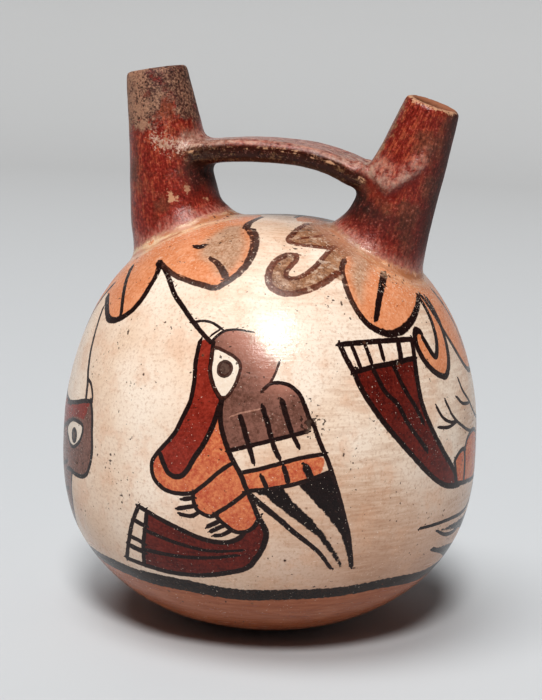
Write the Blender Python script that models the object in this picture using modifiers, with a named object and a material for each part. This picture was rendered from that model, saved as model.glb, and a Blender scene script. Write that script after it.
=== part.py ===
"""Double-spout bridge vessel: a hollow round body, two tapered spouts that splay apart, and a flat strap
that bridges them. It is one piece of fired clay, hollow all through. Lengths are in millimetres below and
metres in the model. The spouts stand along X, +Z is up, and the origin is the middle of the resting spot."""

import math
from dataclasses import dataclass

import bmesh
import bpy
from mathutils import Vector

MM = 0.001
NAME = "vessel"

# The body, a turned form: its widest point, what stands above it, and the flat it rests on
BODY_RADIUS = 66.0
WIDEST_HEIGHT = 57.1
SHOULDER_RISE = 72.9
RESTING_RADIUS = 13.0
BODY_WALL = 4.5
# Exponents of the body's curve, on height and on radius: 2 and 2 give an ellipse, more is fuller
LOWER_FULLNESS = (2.4, 2.1)
UPPER_FULLNESS = (2.1, 2.55)

# What both spouts share
SPOUT_WALL = 3.0
LIP_ROUNDING = 1.3
BASE_FLARE = 3.0
BASE_FLARE_RISE = 9.0
BASE_FLARE_SINK = 3.6

# The strap: width across and thickness, how it spreads where it joins a spout, and narrows again inside it
STRAP_WIDTH = 21.0
STRAP_THICKNESS = 7.2
STRAP_SPREAD = 1.25
STRAP_SPREAD_LENGTH = 9.0
STRAP_TUCK = 0.75
STRAP_CREST_HEIGHT = 150.6
STRAP_CREST_X = -4.0
STRAP_SQUARENESS = 2.8

# How finely the clay is faceted
BODY_SIDES = 60
CAVITY_SIDES = 44
SPOUT_SIDES = 28
BORE_SIDES = 20
STRAP_SIDES = 16

CLAY_COLOUR = (0.42, 0.13, 0.07, 1.0)
CLAY_ROUGHNESS = 0.5


@dataclass(frozen=True)
class Spout:
    """A spout's axis leaves the body's surface `offset` from the middle and leans outwards by `tilt`."""

    side: int
    offset: float
    tilt: float
    length: float
    base_radius: float
    rim_radius: float
    strap_height: float
    strap_drop_power: float


LEFT_SPOUT = Spout(
    side=-1,
    offset=32.0,
    tilt=math.radians(10.8),
    length=51.0,
    base_radius=15.3,
    rim_radius=9.5,
    strap_height=146.2,
    strap_drop_power=2.0,
)
RIGHT_SPOUT = Spout(
    side=1,
    offset=33.0,
    tilt=math.radians(17.9),
    length=46.7,
    base_radius=14.0,
    rim_radius=8.5,
    strap_height=137.4,
    strap_drop_power=2.6,
)


def evenly(points, count):
    """The polyline resampled to count points at even steps along it."""
    lengths = [0.0]
    for here, there in zip(points, points[1:]):
        lengths.append(lengths[-1] + math.dist(here, there))
    found = []
    leg = 0
    for index in range(count):
        wanted = lengths[-1] * index / (count - 1)
        while leg < len(points) - 2 and lengths[leg + 1] < wanted:
            leg += 1
        span = lengths[leg + 1] - lengths[leg]
        share = (wanted - lengths[leg]) / span if span else 0.0
        here, there = points[leg], points[leg + 1]
        found.append(tuple(a + share * (b - a) for a, b in zip(here, there)))
    return found


def upper_curve(fine=240):
    """(radius, height) from the top of the body down to its widest point."""
    height_power, radius_power = UPPER_FULLNESS
    curve = []
    for index in range(fine + 1):
        angle = math.pi / 2 * (1 - index / fine)
        radius = BODY_RADIUS * math.cos(angle) ** (2 / radius_power) if index else 0.0
        curve.append((radius, WIDEST_HEIGHT + SHOULDER_RISE * math.sin(angle) ** (2 / height_power)))
    return curve


def lower_curve(fine=240):
    """(radius, height) from the widest point down to the edge of the resting flat, at height 0."""
    height_power, radius_power = LOWER_FULLNESS
    flat_angle = math.asin((RESTING_RADIUS / BODY_RADIUS) ** (radius_power / 2))
    curve = []
    for index in range(fine + 1):
        angle = math.pi / 2 + (flat_angle - math.pi / 2) * index / fine
        rise = 1 - (max(math.cos(angle), 0.0) / math.cos(flat_angle)) ** (2 / height_power)
        curve.append((BODY_RADIUS * math.sin(angle) ** (2 / radius_power), WIDEST_HEIGHT * rise))
    return curve


def outer_profile():
    """The body's whole outer side, from the top to the middle of the resting flat."""
    return upper_curve() + lower_curve()[1:] + [(0.0, 0.0)]


def inset(profile, wall):
    """The profile moved inwards by the wall, ending on the axis at both ends."""
    moved = []
    for index, (radius, height) in enumerate(profile):
        before = profile[max(index - 1, 0)]
        after = profile[min(index + 1, len(profile) - 1)]
        along = Vector((after[0] - before[0], after[1] - before[1])).normalized()
        moved.append((radius + wall * along.y, height - wall * along.x))
    low = min(height for _, height in profile) + wall
    high = max(height for _, height in profile) - wall
    kept = [(radius, height) for radius, height in moved if radius > 0 and low < height < high]
    return [(0.0, high)] + kept + [(0.0, low)]


def surface_at(radius):
    """The body's height at this radius, above its widest point, and its outward normal there."""
    curve = upper_curve()
    for inner, outer in zip(curve, curve[1:]):
        if outer[0] >= radius:
            share = (radius - inner[0]) / (outer[0] - inner[0])
            height = inner[1] + share * (outer[1] - inner[1])
            normal = Vector((inner[1] - outer[1], outer[0] - inner[0])).normalized()
            return height, normal
    raise ValueError("a spout stands outside the body")


def spout_axis(spout, start, end, step=0.5):
    """(distance, point) pairs along the spout: it leaves the body square to the surface, then bends to its tilt."""
    height, normal = surface_at(spout.offset)
    out = Vector((spout.side * normal.x, 0.0, normal.y))
    lean = Vector((spout.side * math.sin(spout.tilt), 0.0, math.cos(spout.tilt)))
    foot = Vector((spout.side * spout.offset, 0.0, height))
    axis = [(start, foot + out * start)]
    axis.append((0.0, foot))
    steps = math.ceil(end / step)
    point = foot
    for index in range(1, steps + 1):
        distance = end * index / steps
        turn = min(distance / BASE_FLARE_RISE, 1.0)
        turn = turn * turn * (3 - 2 * turn)
        point = point + out.lerp(lean, turn).normalized() * (end / steps)
        axis.append((distance, point))
    return axis


def point_on(axis, distance):
    """The point at this distance along the spout's axis."""
    for (near, here), (far, there) in zip(axis, axis[1:]):
        if far >= distance:
            return here.lerp(there, (distance - near) / (far - near))
    return axis[-1][1]


def taper(spout, distance):
    """The spout's outer radius, without its flare and its lip, at this distance along it."""
    share = min(max(distance / spout.length, 0.0), 1.0)
    return spout.base_radius + (spout.rim_radius - spout.base_radius) * share


def flare(distance):
    """What the foot of a spout adds to its radius: it dies out above, and goes on below the body's surface."""
    share = (distance + BASE_FLARE_SINK) / (BASE_FLARE_RISE + BASE_FLARE_SINK)
    return BASE_FLARE * (1 - min(max(share, 0.0), 1.0)) ** 2


def outer_stations(spout):
    """(distance, radius) from inside the body to the rounded lip."""
    stations = [(-BASE_FLARE_SINK - 2 * BODY_WALL, spout.base_radius)]
    for index in range(7):
        distance = -BASE_FLARE_SINK + (BASE_FLARE_RISE + BASE_FLARE_SINK) * index / 6
        stations.append((distance, taper(spout, distance) + flare(distance)))
    lip_start = spout.length - LIP_ROUNDING
    for index in range(1, 5):
        distance = BASE_FLARE_RISE + (lip_start - BASE_FLARE_RISE) * index / 4
        stations.append((distance, taper(spout, distance)))
    for index in range(1, 4):
        angle = math.pi / 2 * index / 3
        drop = LIP_ROUNDING * (1 - math.cos(angle))
        stations.append((lip_start + LIP_ROUNDING * math.sin(angle), taper(spout, lip_start) - drop))
    return stations


def bore_stations(spout):
    """(distance, radius) of the bore, from inside the body out past the rounded lip."""
    lip_start = spout.length - LIP_ROUNDING
    stations = [(-BASE_FLARE_SINK - 3 * BODY_WALL, spout.base_radius - SPOUT_WALL)]
    for index in range(4):
        distance = lip_start * index / 3
        stations.append((distance, taper(spout, distance) - SPOUT_WALL))
    for index in range(1, 4):
        angle = math.pi / 2 * index / 3
        grow = LIP_ROUNDING * (1 - math.cos(angle))
        stations.append((lip_start + LIP_ROUNDING * math.sin(angle), taper(spout, lip_start) - SPOUT_WALL + grow))
    stations.append((spout.length + 3 * LIP_ROUNDING, stations[-1][1]))
    return stations


def collection_named(name):
    made = bpy.data.collections.new(name)
    bpy.context.scene.collection.children.link(made)
    return made


def turned(name, profile, sides, rows, collection):
    """A solid of revolution about Z, from a profile given in millimetres, top to bottom."""
    points = evenly(profile, rows)
    mesh = bpy.data.meshes.new(name)
    mesh.from_pydata(
        [(radius * MM, 0.0, height * MM) for radius, height in points],
        [(index, index + 1) for index in range(rows - 1)],
        [],
    )
    made = bpy.data.objects.new(name, mesh)
    collection.objects.link(made)
    screw = made.modifiers.new("Turn", "SCREW")
    screw.steps = screw.render_steps = sides
    screw.use_merge_vertices = True
    screw.merge_threshold = 0.00001
    return made


def mesh_from_curve(name, curve, collection):
    """The curve's mesh, with its caps welded, as an object of its own."""
    bpy.context.view_layer.update()
    evaluated = curve.evaluated_get(bpy.context.evaluated_depsgraph_get())
    mesh = bpy.data.meshes.new_from_object(evaluated)
    shaped = bmesh.new()
    shaped.from_mesh(mesh)
    bmesh.ops.remove_doubles(shaped, verts=shaped.verts, dist=0.000001)
    bmesh.ops.recalc_face_normals(shaped, faces=shaped.faces)
    shaped.to_mesh(mesh)
    shaped.free()
    mesh.name = name
    made = bpy.data.objects.new(name, mesh)
    made.matrix_world = curve.matrix_world
    collection.objects.link(made)
    bpy.data.objects.remove(curve)
    return made


def swept(name, stations, sides, collection, section=None):
    """A tube through (point, radius) stations. A section curve replaces its round section."""
    data = bpy.data.curves.new(name, "CURVE")
    data.dimensions = "3D"
    data.twist_mode = "Z_UP"
    data.use_fill_caps = True
    if section:
        data.bevel_mode = "OBJECT"
        data.bevel_object = section
    else:
        data.bevel_depth = MM
        data.bevel_resolution = sides // 2 - 2
    spline = data.splines.new("POLY")
    spline.points.add(len(stations) - 1)
    for station, (point, radius) in zip(spline.points, stations):
        station.co = (*(point * MM), 1.0)
        station.radius = radius
    curve = bpy.data.objects.new(name, data)
    collection.objects.link(curve)
    return mesh_from_curve(name, curve, collection)


def strap_section(collection):
    """The strap's section, a squared oval: its width lies across the vessel and its thickness upright."""
    data = bpy.data.curves.new("strap section", "CURVE")
    data.dimensions = "2D"
    data.fill_mode = "NONE"
    spline = data.splines.new("POLY")
    spline.points.add(STRAP_SIDES - 1)
    spline.use_cyclic_u = True
    power = 2 / STRAP_SQUARENESS
    for index, point in enumerate(spline.points):
        angle = 2 * math.pi * (index + 0.5) / STRAP_SIDES
        across = math.copysign(abs(math.cos(angle)) ** power, math.cos(angle)) * STRAP_WIDTH / 2
        upright = math.copysign(abs(math.sin(angle)) ** power, math.sin(angle)) * STRAP_THICKNESS / 2
        point.co = (across * MM, upright * MM, 0.0, 1.0)
    section = bpy.data.objects.new("strap section", data)
    section.hide_render = True
    section.display_type = "WIRE"
    collection.objects.link(section)
    return section


def strap_end(spout):
    """Where the strap's middle line meets the spout's axis, and the spout's radius there."""
    axis = spout_axis(spout, 0.0, spout.length)
    for (_, here), (distance, there) in zip(axis, axis[1:]):
        if there.z >= spout.strap_height:
            share = (spout.strap_height - here.z) / (there.z - here.z)
            return here.lerp(there, share), taper(spout, distance)
    raise ValueError("the strap meets no spout at this height")


def strap_scale(beyond, spout_radius):
    """The strap's size at this distance outside the spout's surface, or inside it if below 0."""
    if beyond >= 0:
        return 1 + (STRAP_SPREAD - 1) * (1 - min(beyond / STRAP_SPREAD_LENGTH, 1.0)) ** 2
    return STRAP_SPREAD + (STRAP_TUCK - STRAP_SPREAD) * min(-beyond / spout_radius, 1.0)


def strap_stations(rows=26):
    """(point, scale) along the strap's middle line, from the left spout's axis to the right one's."""
    ends = {spout.side: strap_end(spout) for spout in (LEFT_SPOUT, RIGHT_SPOUT)}
    stations = []
    for index in range(rows):
        x = ends[-1][0].x + (ends[1][0].x - ends[-1][0].x) * index / (rows - 1)
        spout = LEFT_SPOUT if x < STRAP_CREST_X else RIGHT_SPOUT
        end, spout_radius = ends[spout.side]
        share = (x - STRAP_CREST_X) / (end.x - STRAP_CREST_X)
        height = STRAP_CREST_HEIGHT + (end.z - STRAP_CREST_HEIGHT) * share**spout.strap_drop_power
        scale = strap_scale(abs(end.x - x) - spout_radius, spout_radius)
        stations.append((Vector((x, 0.0, height)), scale))
    return stations


def boolean(target, other, operation):
    change = target.modifiers.new(f"{operation.capitalize()} {other.name}", "BOOLEAN")
    change.operation = operation
    change.solver = "EXACT"
    change.object = other


def as_helper(helper):
    helper.hide_render = True
    helper.display_type = "WIRE"
    return helper


def clay_material():
    """Burnished red clay, the body's own colour under its paint."""
    clay = bpy.data.materials.new("fired clay")
    clay.use_nodes = True
    surface = clay.node_tree.nodes["Principled BSDF"]
    surface.inputs["Base Color"].default_value = CLAY_COLOUR
    surface.inputs["Roughness"].default_value = CLAY_ROUGHNESS
    surface.inputs["Metallic"].default_value = 0.0
    clay.diffuse_color = CLAY_COLOUR
    return clay


def make_vessel():
    parts = collection_named("double-spout bridge vessel")
    helpers = collection_named("helpers")
    profile = outer_profile()
    vessel = turned(NAME, profile, BODY_SIDES, 36, parts)
    cavity = as_helper(turned("cavity", inset(profile, BODY_WALL), CAVITY_SIDES, 24, helpers))
    for spout in (LEFT_SPOUT, RIGHT_SPOUT):
        word = "left" if spout.side < 0 else "right"
        axis = spout_axis(spout, -BASE_FLARE_SINK - 3 * BODY_WALL, spout.length + 3 * LIP_ROUNDING)
        outside = [(point_on(axis, distance), radius) for distance, radius in outer_stations(spout)]
        inside = [(point_on(axis, distance), radius) for distance, radius in bore_stations(spout)]
        horn = as_helper(swept(f"{word} spout", outside, SPOUT_SIDES, helpers))
        bore = as_helper(swept(f"{word} bore", inside, BORE_SIDES, helpers))
        boolean(vessel, horn, "UNION")
        boolean(cavity, bore, "UNION")
    strap = as_helper(swept("strap", strap_stations(), 0, helpers, strap_section(helpers)))
    boolean(vessel, strap, "UNION")
    boolean(vessel, cavity, "DIFFERENCE")
    vessel.data.materials.append(clay_material())
    vessel.data.shade_smooth()


for old in list(bpy.data.objects):
    bpy.data.objects.remove(old)
make_vessel()
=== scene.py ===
"""Double-spout bridge vessel in its paint: a hollow bottle of red clay with burnished slips, and birds and
flowers drawn on it. Lengths are written in millimetres. +Z is up and +X runs from the taller spout to the
shorter one. A bearing is an angle round the body, from -Y towards +X, and a turn is one round a spout."""

import math
from dataclasses import dataclass
from functools import partial
from types import SimpleNamespace

import bpy
import numpy as np
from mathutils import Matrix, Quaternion, Vector


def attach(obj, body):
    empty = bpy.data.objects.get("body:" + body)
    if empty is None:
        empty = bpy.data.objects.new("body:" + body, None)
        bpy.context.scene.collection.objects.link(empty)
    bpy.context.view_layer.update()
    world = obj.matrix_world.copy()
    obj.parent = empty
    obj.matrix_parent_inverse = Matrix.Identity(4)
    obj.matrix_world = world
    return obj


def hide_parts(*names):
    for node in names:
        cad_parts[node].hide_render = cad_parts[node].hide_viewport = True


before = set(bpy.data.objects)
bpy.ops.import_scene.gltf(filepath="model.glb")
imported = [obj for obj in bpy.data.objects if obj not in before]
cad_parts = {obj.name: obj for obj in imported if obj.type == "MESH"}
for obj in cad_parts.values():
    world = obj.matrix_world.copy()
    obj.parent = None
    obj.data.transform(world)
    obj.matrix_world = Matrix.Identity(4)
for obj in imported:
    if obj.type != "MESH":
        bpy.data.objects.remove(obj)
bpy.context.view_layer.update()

MM = 0.001

# The body, a turned form
BODY_RADIUS = 66.0
WIDEST_HEIGHT = 57.1
SHOULDER_RISE = 72.9
RESTING_RADIUS = 13.0
BODY_WALL = 4.5
LOWER_FULLNESS = (2.4, 2.1)
UPPER_FULLNESS = (2.1, 2.55)

# Spouts and strap
SPOUT_WALL = 3.0
LIP_ROUNDING = 1.3
BASE_FLARE = 3.0
BASE_FLARE_RISE = 9.0
BASE_FLARE_SINK = 3.6
STRAP_WIDTH = 21.0
STRAP_THICKNESS = 7.2
STRAP_CORNER = 2.7
STRAP_SPREAD = 1.06
STRAP_SPREAD_LENGTH = 9.0
STRAP_TUCK = 0.6
STRAP_CREST_HEIGHT = 150.6
STRAP_CREST_X = -4.0

# How finely each form is made: rows of points down it, and steps or sides round it
BODY_FINENESS = (70, 144)
HOLLOW_FINENESS = (36, 96)
HORN_SIDES = 72
BORE_SIDES = 48
SPOUT_ROWS = 14
BORE_ROWS = 8
LIP_ROWS = 6
MOUTH_ROWS = 5
STRAP_ROWS = 44
SHEET_STEPS = 64
# Rows on the curves that the spouts' feet are set on and that distances are measured from
FOOT_ROWS = 400
MEASURED_ROWS = 160

# The clay's own skin: how closely it is modelled, from how many degrees on an edge in it looks sharp, and
# how far from a join and how often it was smoothed
SKIN_CELL = 1.03
SHARP_FROM = 50
JOIN_REACH = 8.0
JOIN_SMOOTHINGS = 34
# What hand building and scraping left: the width of its swellings, how many finer ones they carry, and height
BUILT_UNEVENNESS = (30.0, 1, 0.9)
SCRAPED_UNEVENNESS = (5.0, 2, 0.22)
# The strap's clay on the shorter spout: how far it stands out, and (turn in degrees, distance up) of its edge
SMEAR_HEIGHT = 1.5
SMEAR_EDGE = ((-90, 22.0), (-41, 19.4), (-7, 17.0), (10, 21.0), (25, 25.2), (44, 30.0))

# The painted band: its top edge's height, its width, and what each (height, waves round, start) adds to them
BAND_TOP = 26.4
BAND_WIDTH = 4.5
BAND_SWELLING = ((0.8, 1, 0.1 + math.pi / 2), (0.35, 4, 2.0))
BAND_WOBBLE = ((0.7, 2, 1.1), (0.4, 5, 0.4), (0.25, 11, 0.0))

# How much the burnishing noise is drawn out along the pebble's strokes, how far a loaded brush spreads past
# the widths given below, and how far the washes of thin slip run out round the feet of the spouts
BURNISH_DRAW = 0.12
BRUSH_LOAD = 1.12
FOOT_WASH_REACH = 7.5

# Chips in the taller spout's slip: turn to the right from its front in degrees, height up it and size
CHIPS = (
    (15, 10.4, 2.3),
    (11, 12.0, 1.2),
    (20, 9.3, 1.5),
    (37, 12.6, 1.9),
    (34, 10.9, 1.2),
    (62, 7.6, 1.7),
    (66, 39.1, 1.3),
)

# Distances that stand for too far away to matter, and how far out the strap's own skin reaches
FAR_FROM_CHIP = 9.0
FAR_FROM_FOOT = 20.0
FAR_FROM_RIM = 60.0
FAR_FROM_PAINT = 20.0
STRAP_SKIN = 0.9

# The ground, and the slips in the order they were laid on: thin and thick colours, and how softly their edge
# fades in millimetres
CREAM = "#F0DFCE"
WARM_CREAM = "#E9CEB6"
# Darker creams towards the foot and the shorter spout: thin slip and stains, partly painted shade
SHADED_THIN_CREAM = "#C8A088"
STAINED_AND_SHADED_CREAM = "#AE8062"
ROSY_CREAM = "#D9AC8E"
SLIP_COLOURS = (
    ("bare", "#B06D4C", "#9A573A", 0.3),
    ("orange", "#D5865B", "#B6543A", 0.3),
    ("peach", "#E29E78", "#CD8055", 0.3),
    ("haze", "#C8A48B", "#A0775A", 5.0),
    ("tan", "#A97D5E", "#75503B", 0.3),
    ("brown", "#8A6155", "#644338", 0.3),
    ("red", "#97392B", "#76251A", 0.3),
    ("cream", "#EADCCD", "#E2CFBC", 0.3),
    ("dark_red", "#72281E", "#4E1611", 0.3),
    ("pupil", "#6A5348", "#4A3630", 0.3),
    ("band", "#35261F", "#191110", 0.3),
    ("ink", "#241412", "#170C0B", 0.3),
)
# The paints for lines: on how many sheets they are kept, thin and thick colours, and how well they cover
INKS = {
    "ink": (4, "#2E1B18", "#1C0F0E", 1.0),
    "worn_ink": (2, "#4E2E26", "#2E1A15", 0.96),
    "umber": (2, "#74402F", "#4E281D", 0.94),
    "scratch": (1, "#C79A88", "#A87A66", 0.6),
}
# The washes round the spouts' feet: their colours, and the part of the brush's noise where they show
FOOT_WASHES = (("#E3CBAA", 0.38, 0.44), ("#DDB0A0", 0.5, 0.55), ("#A9683F", 0.44, 0.48))
SHORT_FOOT_STAIN = "#A2705A"
# Brown paled by wear and as a painted highlight on the upright bird's head
WORN_AND_HIGHLIT_BROWN = "#BF8674"
RED_SLIP = "#8F352A"
RED_SLIP_DARK = "#70231B"
RED_SLIP_BRIGHT = "#AB583C"
THIN_RED_SHEEN = "#C58E7F"
TARNISH = "#6A4434"
OLIVE_STAIN = "#8E6C4C"
CRUST_DARK = "#3E2722"
CRUST_PALE = "#AA846C"
# Dark grains, and the painted shade with soot under the strap and on the spouts' shaded sides
SHADE_AND_SOOT = "#23140F"
# Rubbed clay, which is also the painted highlight along the strap's top edges
RUBBED_AND_HIGHLIT_CLAY = "#C99C7C"
STRAP_SHADE = "#33190F"
STRAP_DUST = "#C9AA9A"
PIT = "#33211B"
PIT_HALO = "#8A5F45"
SMOKED_CLAY = "#7A4A38"
RAW_CLAY = "#A8704F"
PAPER = "#C4C7CA"
# The far paper, painted darker as shade
FAR_PAPER = "#A6A7A8"

# Roughness: the pebble's shine where it pressed most and least, and the dull places
SHINE = (0.17, 0.29)
CRUST_DULLNESS = 0.6
SHADE_AND_SOOT_DULLNESS = 0.62
PIT_DULLNESS = 0.85
RAW_CLAY_DULLNESS = 0.85
PAPER_DULLNESS = 0.9

# The noises in the finish, by what they stand for: size in millimetres, detail and roughness
GRAINS = {
    "clouds": (26, 3.0, 0.5),
    "blotches": (5, 4.0, 0.6),
    "grain": (0.9, 3.0, 0.65),
    "fray": (1.5, 2.0, 0.5),
    "flaky": (2.2, 5.0, 0.7),
    "rosy": (10, 5.0, 0.65),
    "dust": (0.6, 1.0, 0.5),
    "crowd": (11, 2.0, 0.5),
    "pepper": (1.1, 1.0, 0.4),
    "dulled": (13, 4.0, 0.6),
    "crumbly": (0.7, 2.0, 0.7),
}
# The same for the noises that are drawn out along the pebble's strokes
STROKE_GRAINS = {"streaks": (1.1, 4.0, 0.6), "strokes": (0.9, 5.0, 0.7), "fine": (0.5, 3.0, 0.7)}
# How far apart the pits in the slips and the dark grains in the crust lie
PIT_SPACING = 6.5
DARK_GRAIN_SPACING = 1.3
# What the finish reads of each point, besides the paint and the strokes
MARKS = (
    *("worn", "faded", "stained", "foot", "scuffed", "stand_out", "tarnished", "crust"),
    *("pale_side", "crumbs", "chips", "sooty", "smear_edge", "strap_side", "dusty", "rubbed"),
)

# The studio: the sheet's curve, where its paper is painted darker as shade, how far off the lights stand,
# and each one's bearing, elevation and spread in degrees, power and colour
SHEET_CURVE = (
    *((0.0, 0.0), (1600.0, 0.0), (1900.0, 40.0), (2150.0, 160.0)),
    *((2320.0, 380.0), (2400.0, 700.0), (2400.0, 900.0)),
)
PAPER_DARKENS = (150 * MM, 1600 * MM)
LIGHT_DISTANCE = 2000.0
LIGHTS = {
    "front_light": (16, 48, 13, 2.0, "#FFFEFC"),
    "top_light": (-24, 70, 34, 1.58, "#FFFEFD"),
    "back_light": (-165, 60, 50, 0.16, "#FFFFFF"),
}
ROOM_COLOUR = "#F2F4F8"
ROOM_LIGHT = 0.04

# The camera: angles in degrees, its distance, its lens, and how far right and up of the middle of the floor
# it aims
CAMERA_BEARING = 17.5
CAMERA_ELEVATION = 10.0
CAMERA_DISTANCE = 650.0
CAMERA_ROLL = 2.35
CAMERA_LENS = 105.0
CAMERA_AIM = (-0.72, 87.2)


@dataclass(frozen=True)
class Spout:
    """A spout leaves the body `offset` from the middle, square to its surface, and bends to its `tilt`."""

    side: int
    offset: float
    tilt: float
    length: float
    base_radius: float
    rim_radius: float
    strap_height: float
    strap_drop_power: float


LEFT_SPOUT = Spout(-1, 32.0, math.radians(10.8), 51.0, 15.3, 9.5, 146.2, 2.0)
RIGHT_SPOUT = Spout(1, 33.0, math.radians(17.9), 46.7, 14.0, 8.5, 137.4, 2.6)
SPOUTS = (LEFT_SPOUT, RIGHT_SPOUT)


# Shapes worked out in millimetres


def upper_curve(rows):
    """(radius, height) from the top of the body down to its widest point."""
    curve = []
    for row in range(rows + 1):
        angle = math.pi / 2 * (1 - row / rows)
        radius = BODY_RADIUS * math.cos(angle) ** (2 / UPPER_FULLNESS[1]) if row else 0.0
        curve.append((radius, WIDEST_HEIGHT + SHOULDER_RISE * math.sin(angle) ** (2 / UPPER_FULLNESS[0])))
    return curve


def lower_curve(rows):
    """(radius, height) from the widest point down to the edge of the resting flat."""
    flat_angle = math.asin((RESTING_RADIUS / BODY_RADIUS) ** (LOWER_FULLNESS[1] / 2))
    curve = []
    for row in range(rows + 1):
        angle = math.pi / 2 + (flat_angle - math.pi / 2) * row / rows
        rise = 1 - (max(math.cos(angle), 0.0) / math.cos(flat_angle)) ** (2 / LOWER_FULLNESS[0])
        curve.append((BODY_RADIUS * math.sin(angle) ** (2 / LOWER_FULLNESS[1]), WIDEST_HEIGHT * rise))
    return curve


def body_curve(rows):
    """(radius, height) from the top of the body to the middle of its resting flat."""
    return upper_curve(rows) + lower_curve(rows)[1:] + [(0.0, 0.0)]


def inset(profile, wall):
    """The body's curve moved in by its wall, ending on the axis at both ends."""
    moved = []
    for row, (radius, height) in enumerate(profile):
        before = profile[max(row - 1, 0)]
        after = profile[min(row + 1, len(profile) - 1)]
        along = Vector((after[0] - before[0], after[1] - before[1])).normalized()
        moved.append((radius + wall * along.y, height - wall * along.x))
    low = min(height for _, height in profile) + wall
    high = max(height for _, height in profile) - wall
    kept = [(radius, height) for radius, height in moved if radius > 0 and low < height < high]
    return [(0.0, high)] + kept + [(0.0, low)]


def spout_line(spout, start, end, steps=120):
    """(distance, point, lean) along the middle of a spout. Its lean is an angle from upright towards +X."""
    curve = upper_curve(FOOT_ROWS)
    row = next(row for row in range(1, FOOT_ROWS) if curve[row][0] >= spout.offset)
    inner, outer = curve[row - 1], curve[row]
    share = (spout.offset - inner[0]) / (outer[0] - inner[0])
    foot = Vector((spout.side * spout.offset, 0.0, inner[1] + share * (outer[1] - inner[1])))
    slope = Vector((inner[1] - outer[1], outer[0] - inner[0])).normalized()
    square = Vector((spout.side * slope.x, 0.0, slope.y))
    tilted = Vector((spout.side * math.sin(spout.tilt), 0.0, math.cos(spout.tilt)))
    first_lean = math.atan2(square.x, square.z)
    middle = [(start, foot + square * start, first_lean), (0.0, foot, first_lean)]
    point = foot
    for step in range(1, steps + 1):
        distance = end * step / steps
        turn = min(distance / BASE_FLARE_RISE, 1.0)
        way = square.lerp(tilted, turn * turn * (3 - 2 * turn)).normalized()
        point = point + way * (end / steps)
        middle.append((distance, point, math.atan2(way.x, way.z)))
    return middle


def along_line(middle, distance):
    """The point on a spout's middle line at this distance, and its lean there."""
    for (near, here, lean), (far, there, leaning) in zip(middle, middle[1:]):
        if far >= distance:
            share = (distance - near) / (far - near)
            return here.lerp(there, share), lean + share * (leaning - lean)
    return middle[-1][1], middle[-1][2]


def taper(spout, distance):
    """The spout's radius at this distance along it."""
    return spout.base_radius + (spout.rim_radius - spout.base_radius) * np.clip(distance / spout.length, 0, 1)


def flare(distance):
    """What the foot of a spout adds to its radius."""
    share = (distance + BASE_FLARE_SINK) / (BASE_FLARE_RISE + BASE_FLARE_SINK)
    return BASE_FLARE * (1 - np.clip(share, 0, 1)) ** 2


def outside_of(spout):
    """(distance, radius) of the spout from inside the body to its rounded lip."""
    lip = spout.length - LIP_ROUNDING
    rows = [(-BASE_FLARE_SINK - 2 * BODY_WALL, spout.base_radius)]
    for distance in np.linspace(-BASE_FLARE_SINK, BASE_FLARE_RISE, SPOUT_ROWS):
        rows.append((distance, taper(spout, distance) + flare(distance)))
    for distance in np.linspace(BASE_FLARE_RISE, lip, SPOUT_ROWS)[1:]:
        rows.append((distance, taper(spout, distance)))
    for angle in np.linspace(0, math.pi / 2, LIP_ROWS)[1:]:
        drawn_in = LIP_ROUNDING * (1 - math.cos(angle))
        rows.append((lip + LIP_ROUNDING * math.sin(angle), taper(spout, lip) - drawn_in))
    return rows


def bore_of(spout):
    """(distance, radius) of the bore from inside the body out past the lip."""
    lip = spout.length - LIP_ROUNDING
    rows = [(-BASE_FLARE_SINK - 3 * BODY_WALL, spout.base_radius - SPOUT_WALL)]
    rows += [(distance, taper(spout, distance) - SPOUT_WALL) for distance in np.linspace(0.0, lip, BORE_ROWS)]
    for angle in np.linspace(0, math.pi / 2, MOUTH_ROWS)[1:]:
        opened = LIP_ROUNDING * (1 - math.cos(angle))
        rows.append((lip + LIP_ROUNDING * math.sin(angle), taper(spout, lip) - SPOUT_WALL + opened))
    return rows + [(spout.length + 4.0, rows[-1][1] + 0.5)]


def strap_end(spout):
    """Where the strap's middle line meets the spout's, and the spout's radius there."""
    middle = spout_line(spout, -1.0, spout.length)
    for (_, here, _), (distance, there, _) in zip(middle, middle[1:]):
        if there.z >= spout.strap_height:
            share = (spout.strap_height - here.z) / (there.z - here.z)
            return here.lerp(there, share), taper(spout, distance)
    raise ValueError("the strap meets no spout at this height")


def strap_rows():
    """(point, scale) along the strap's middle line, from the taller spout's middle to the shorter one's."""
    ends = {spout.side: strap_end(spout) for spout in SPOUTS}
    rows = []
    for x in np.linspace(ends[-1][0].x, ends[1][0].x, STRAP_ROWS):
        spout = LEFT_SPOUT if x < STRAP_CREST_X else RIGHT_SPOUT
        end, spout_radius = ends[spout.side]
        share = (x - STRAP_CREST_X) / (end.x - STRAP_CREST_X)
        height = STRAP_CREST_HEIGHT + (end.z - STRAP_CREST_HEIGHT) * share**spout.strap_drop_power
        beyond = abs(end.x - x) - spout_radius
        if beyond >= 0:
            scale = 1 + (STRAP_SPREAD - 1) * (1 - min(beyond / STRAP_SPREAD_LENGTH, 1.0)) ** 2
        else:
            scale = STRAP_SPREAD + (STRAP_TUCK - STRAP_SPREAD) * min(-beyond / spout_radius, 1.0)
        rows.append((Vector((x, 0.0, height)), scale))
    return rows


# Shaping the clay


def begun(name, add, **settings):
    """A primitive added with nothing else selected, its place and turn put into its mesh, to be edited."""
    bpy.ops.object.select_all(action="DESELECT")
    add(**settings)
    made = bpy.context.object
    made.name = made.data.name = name
    bpy.ops.object.transform_apply(location=True, rotation=True, scale=True)
    bpy.ops.object.mode_set(mode="EDIT")
    bpy.ops.mesh.select_all(action="SELECT")
    return made


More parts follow.
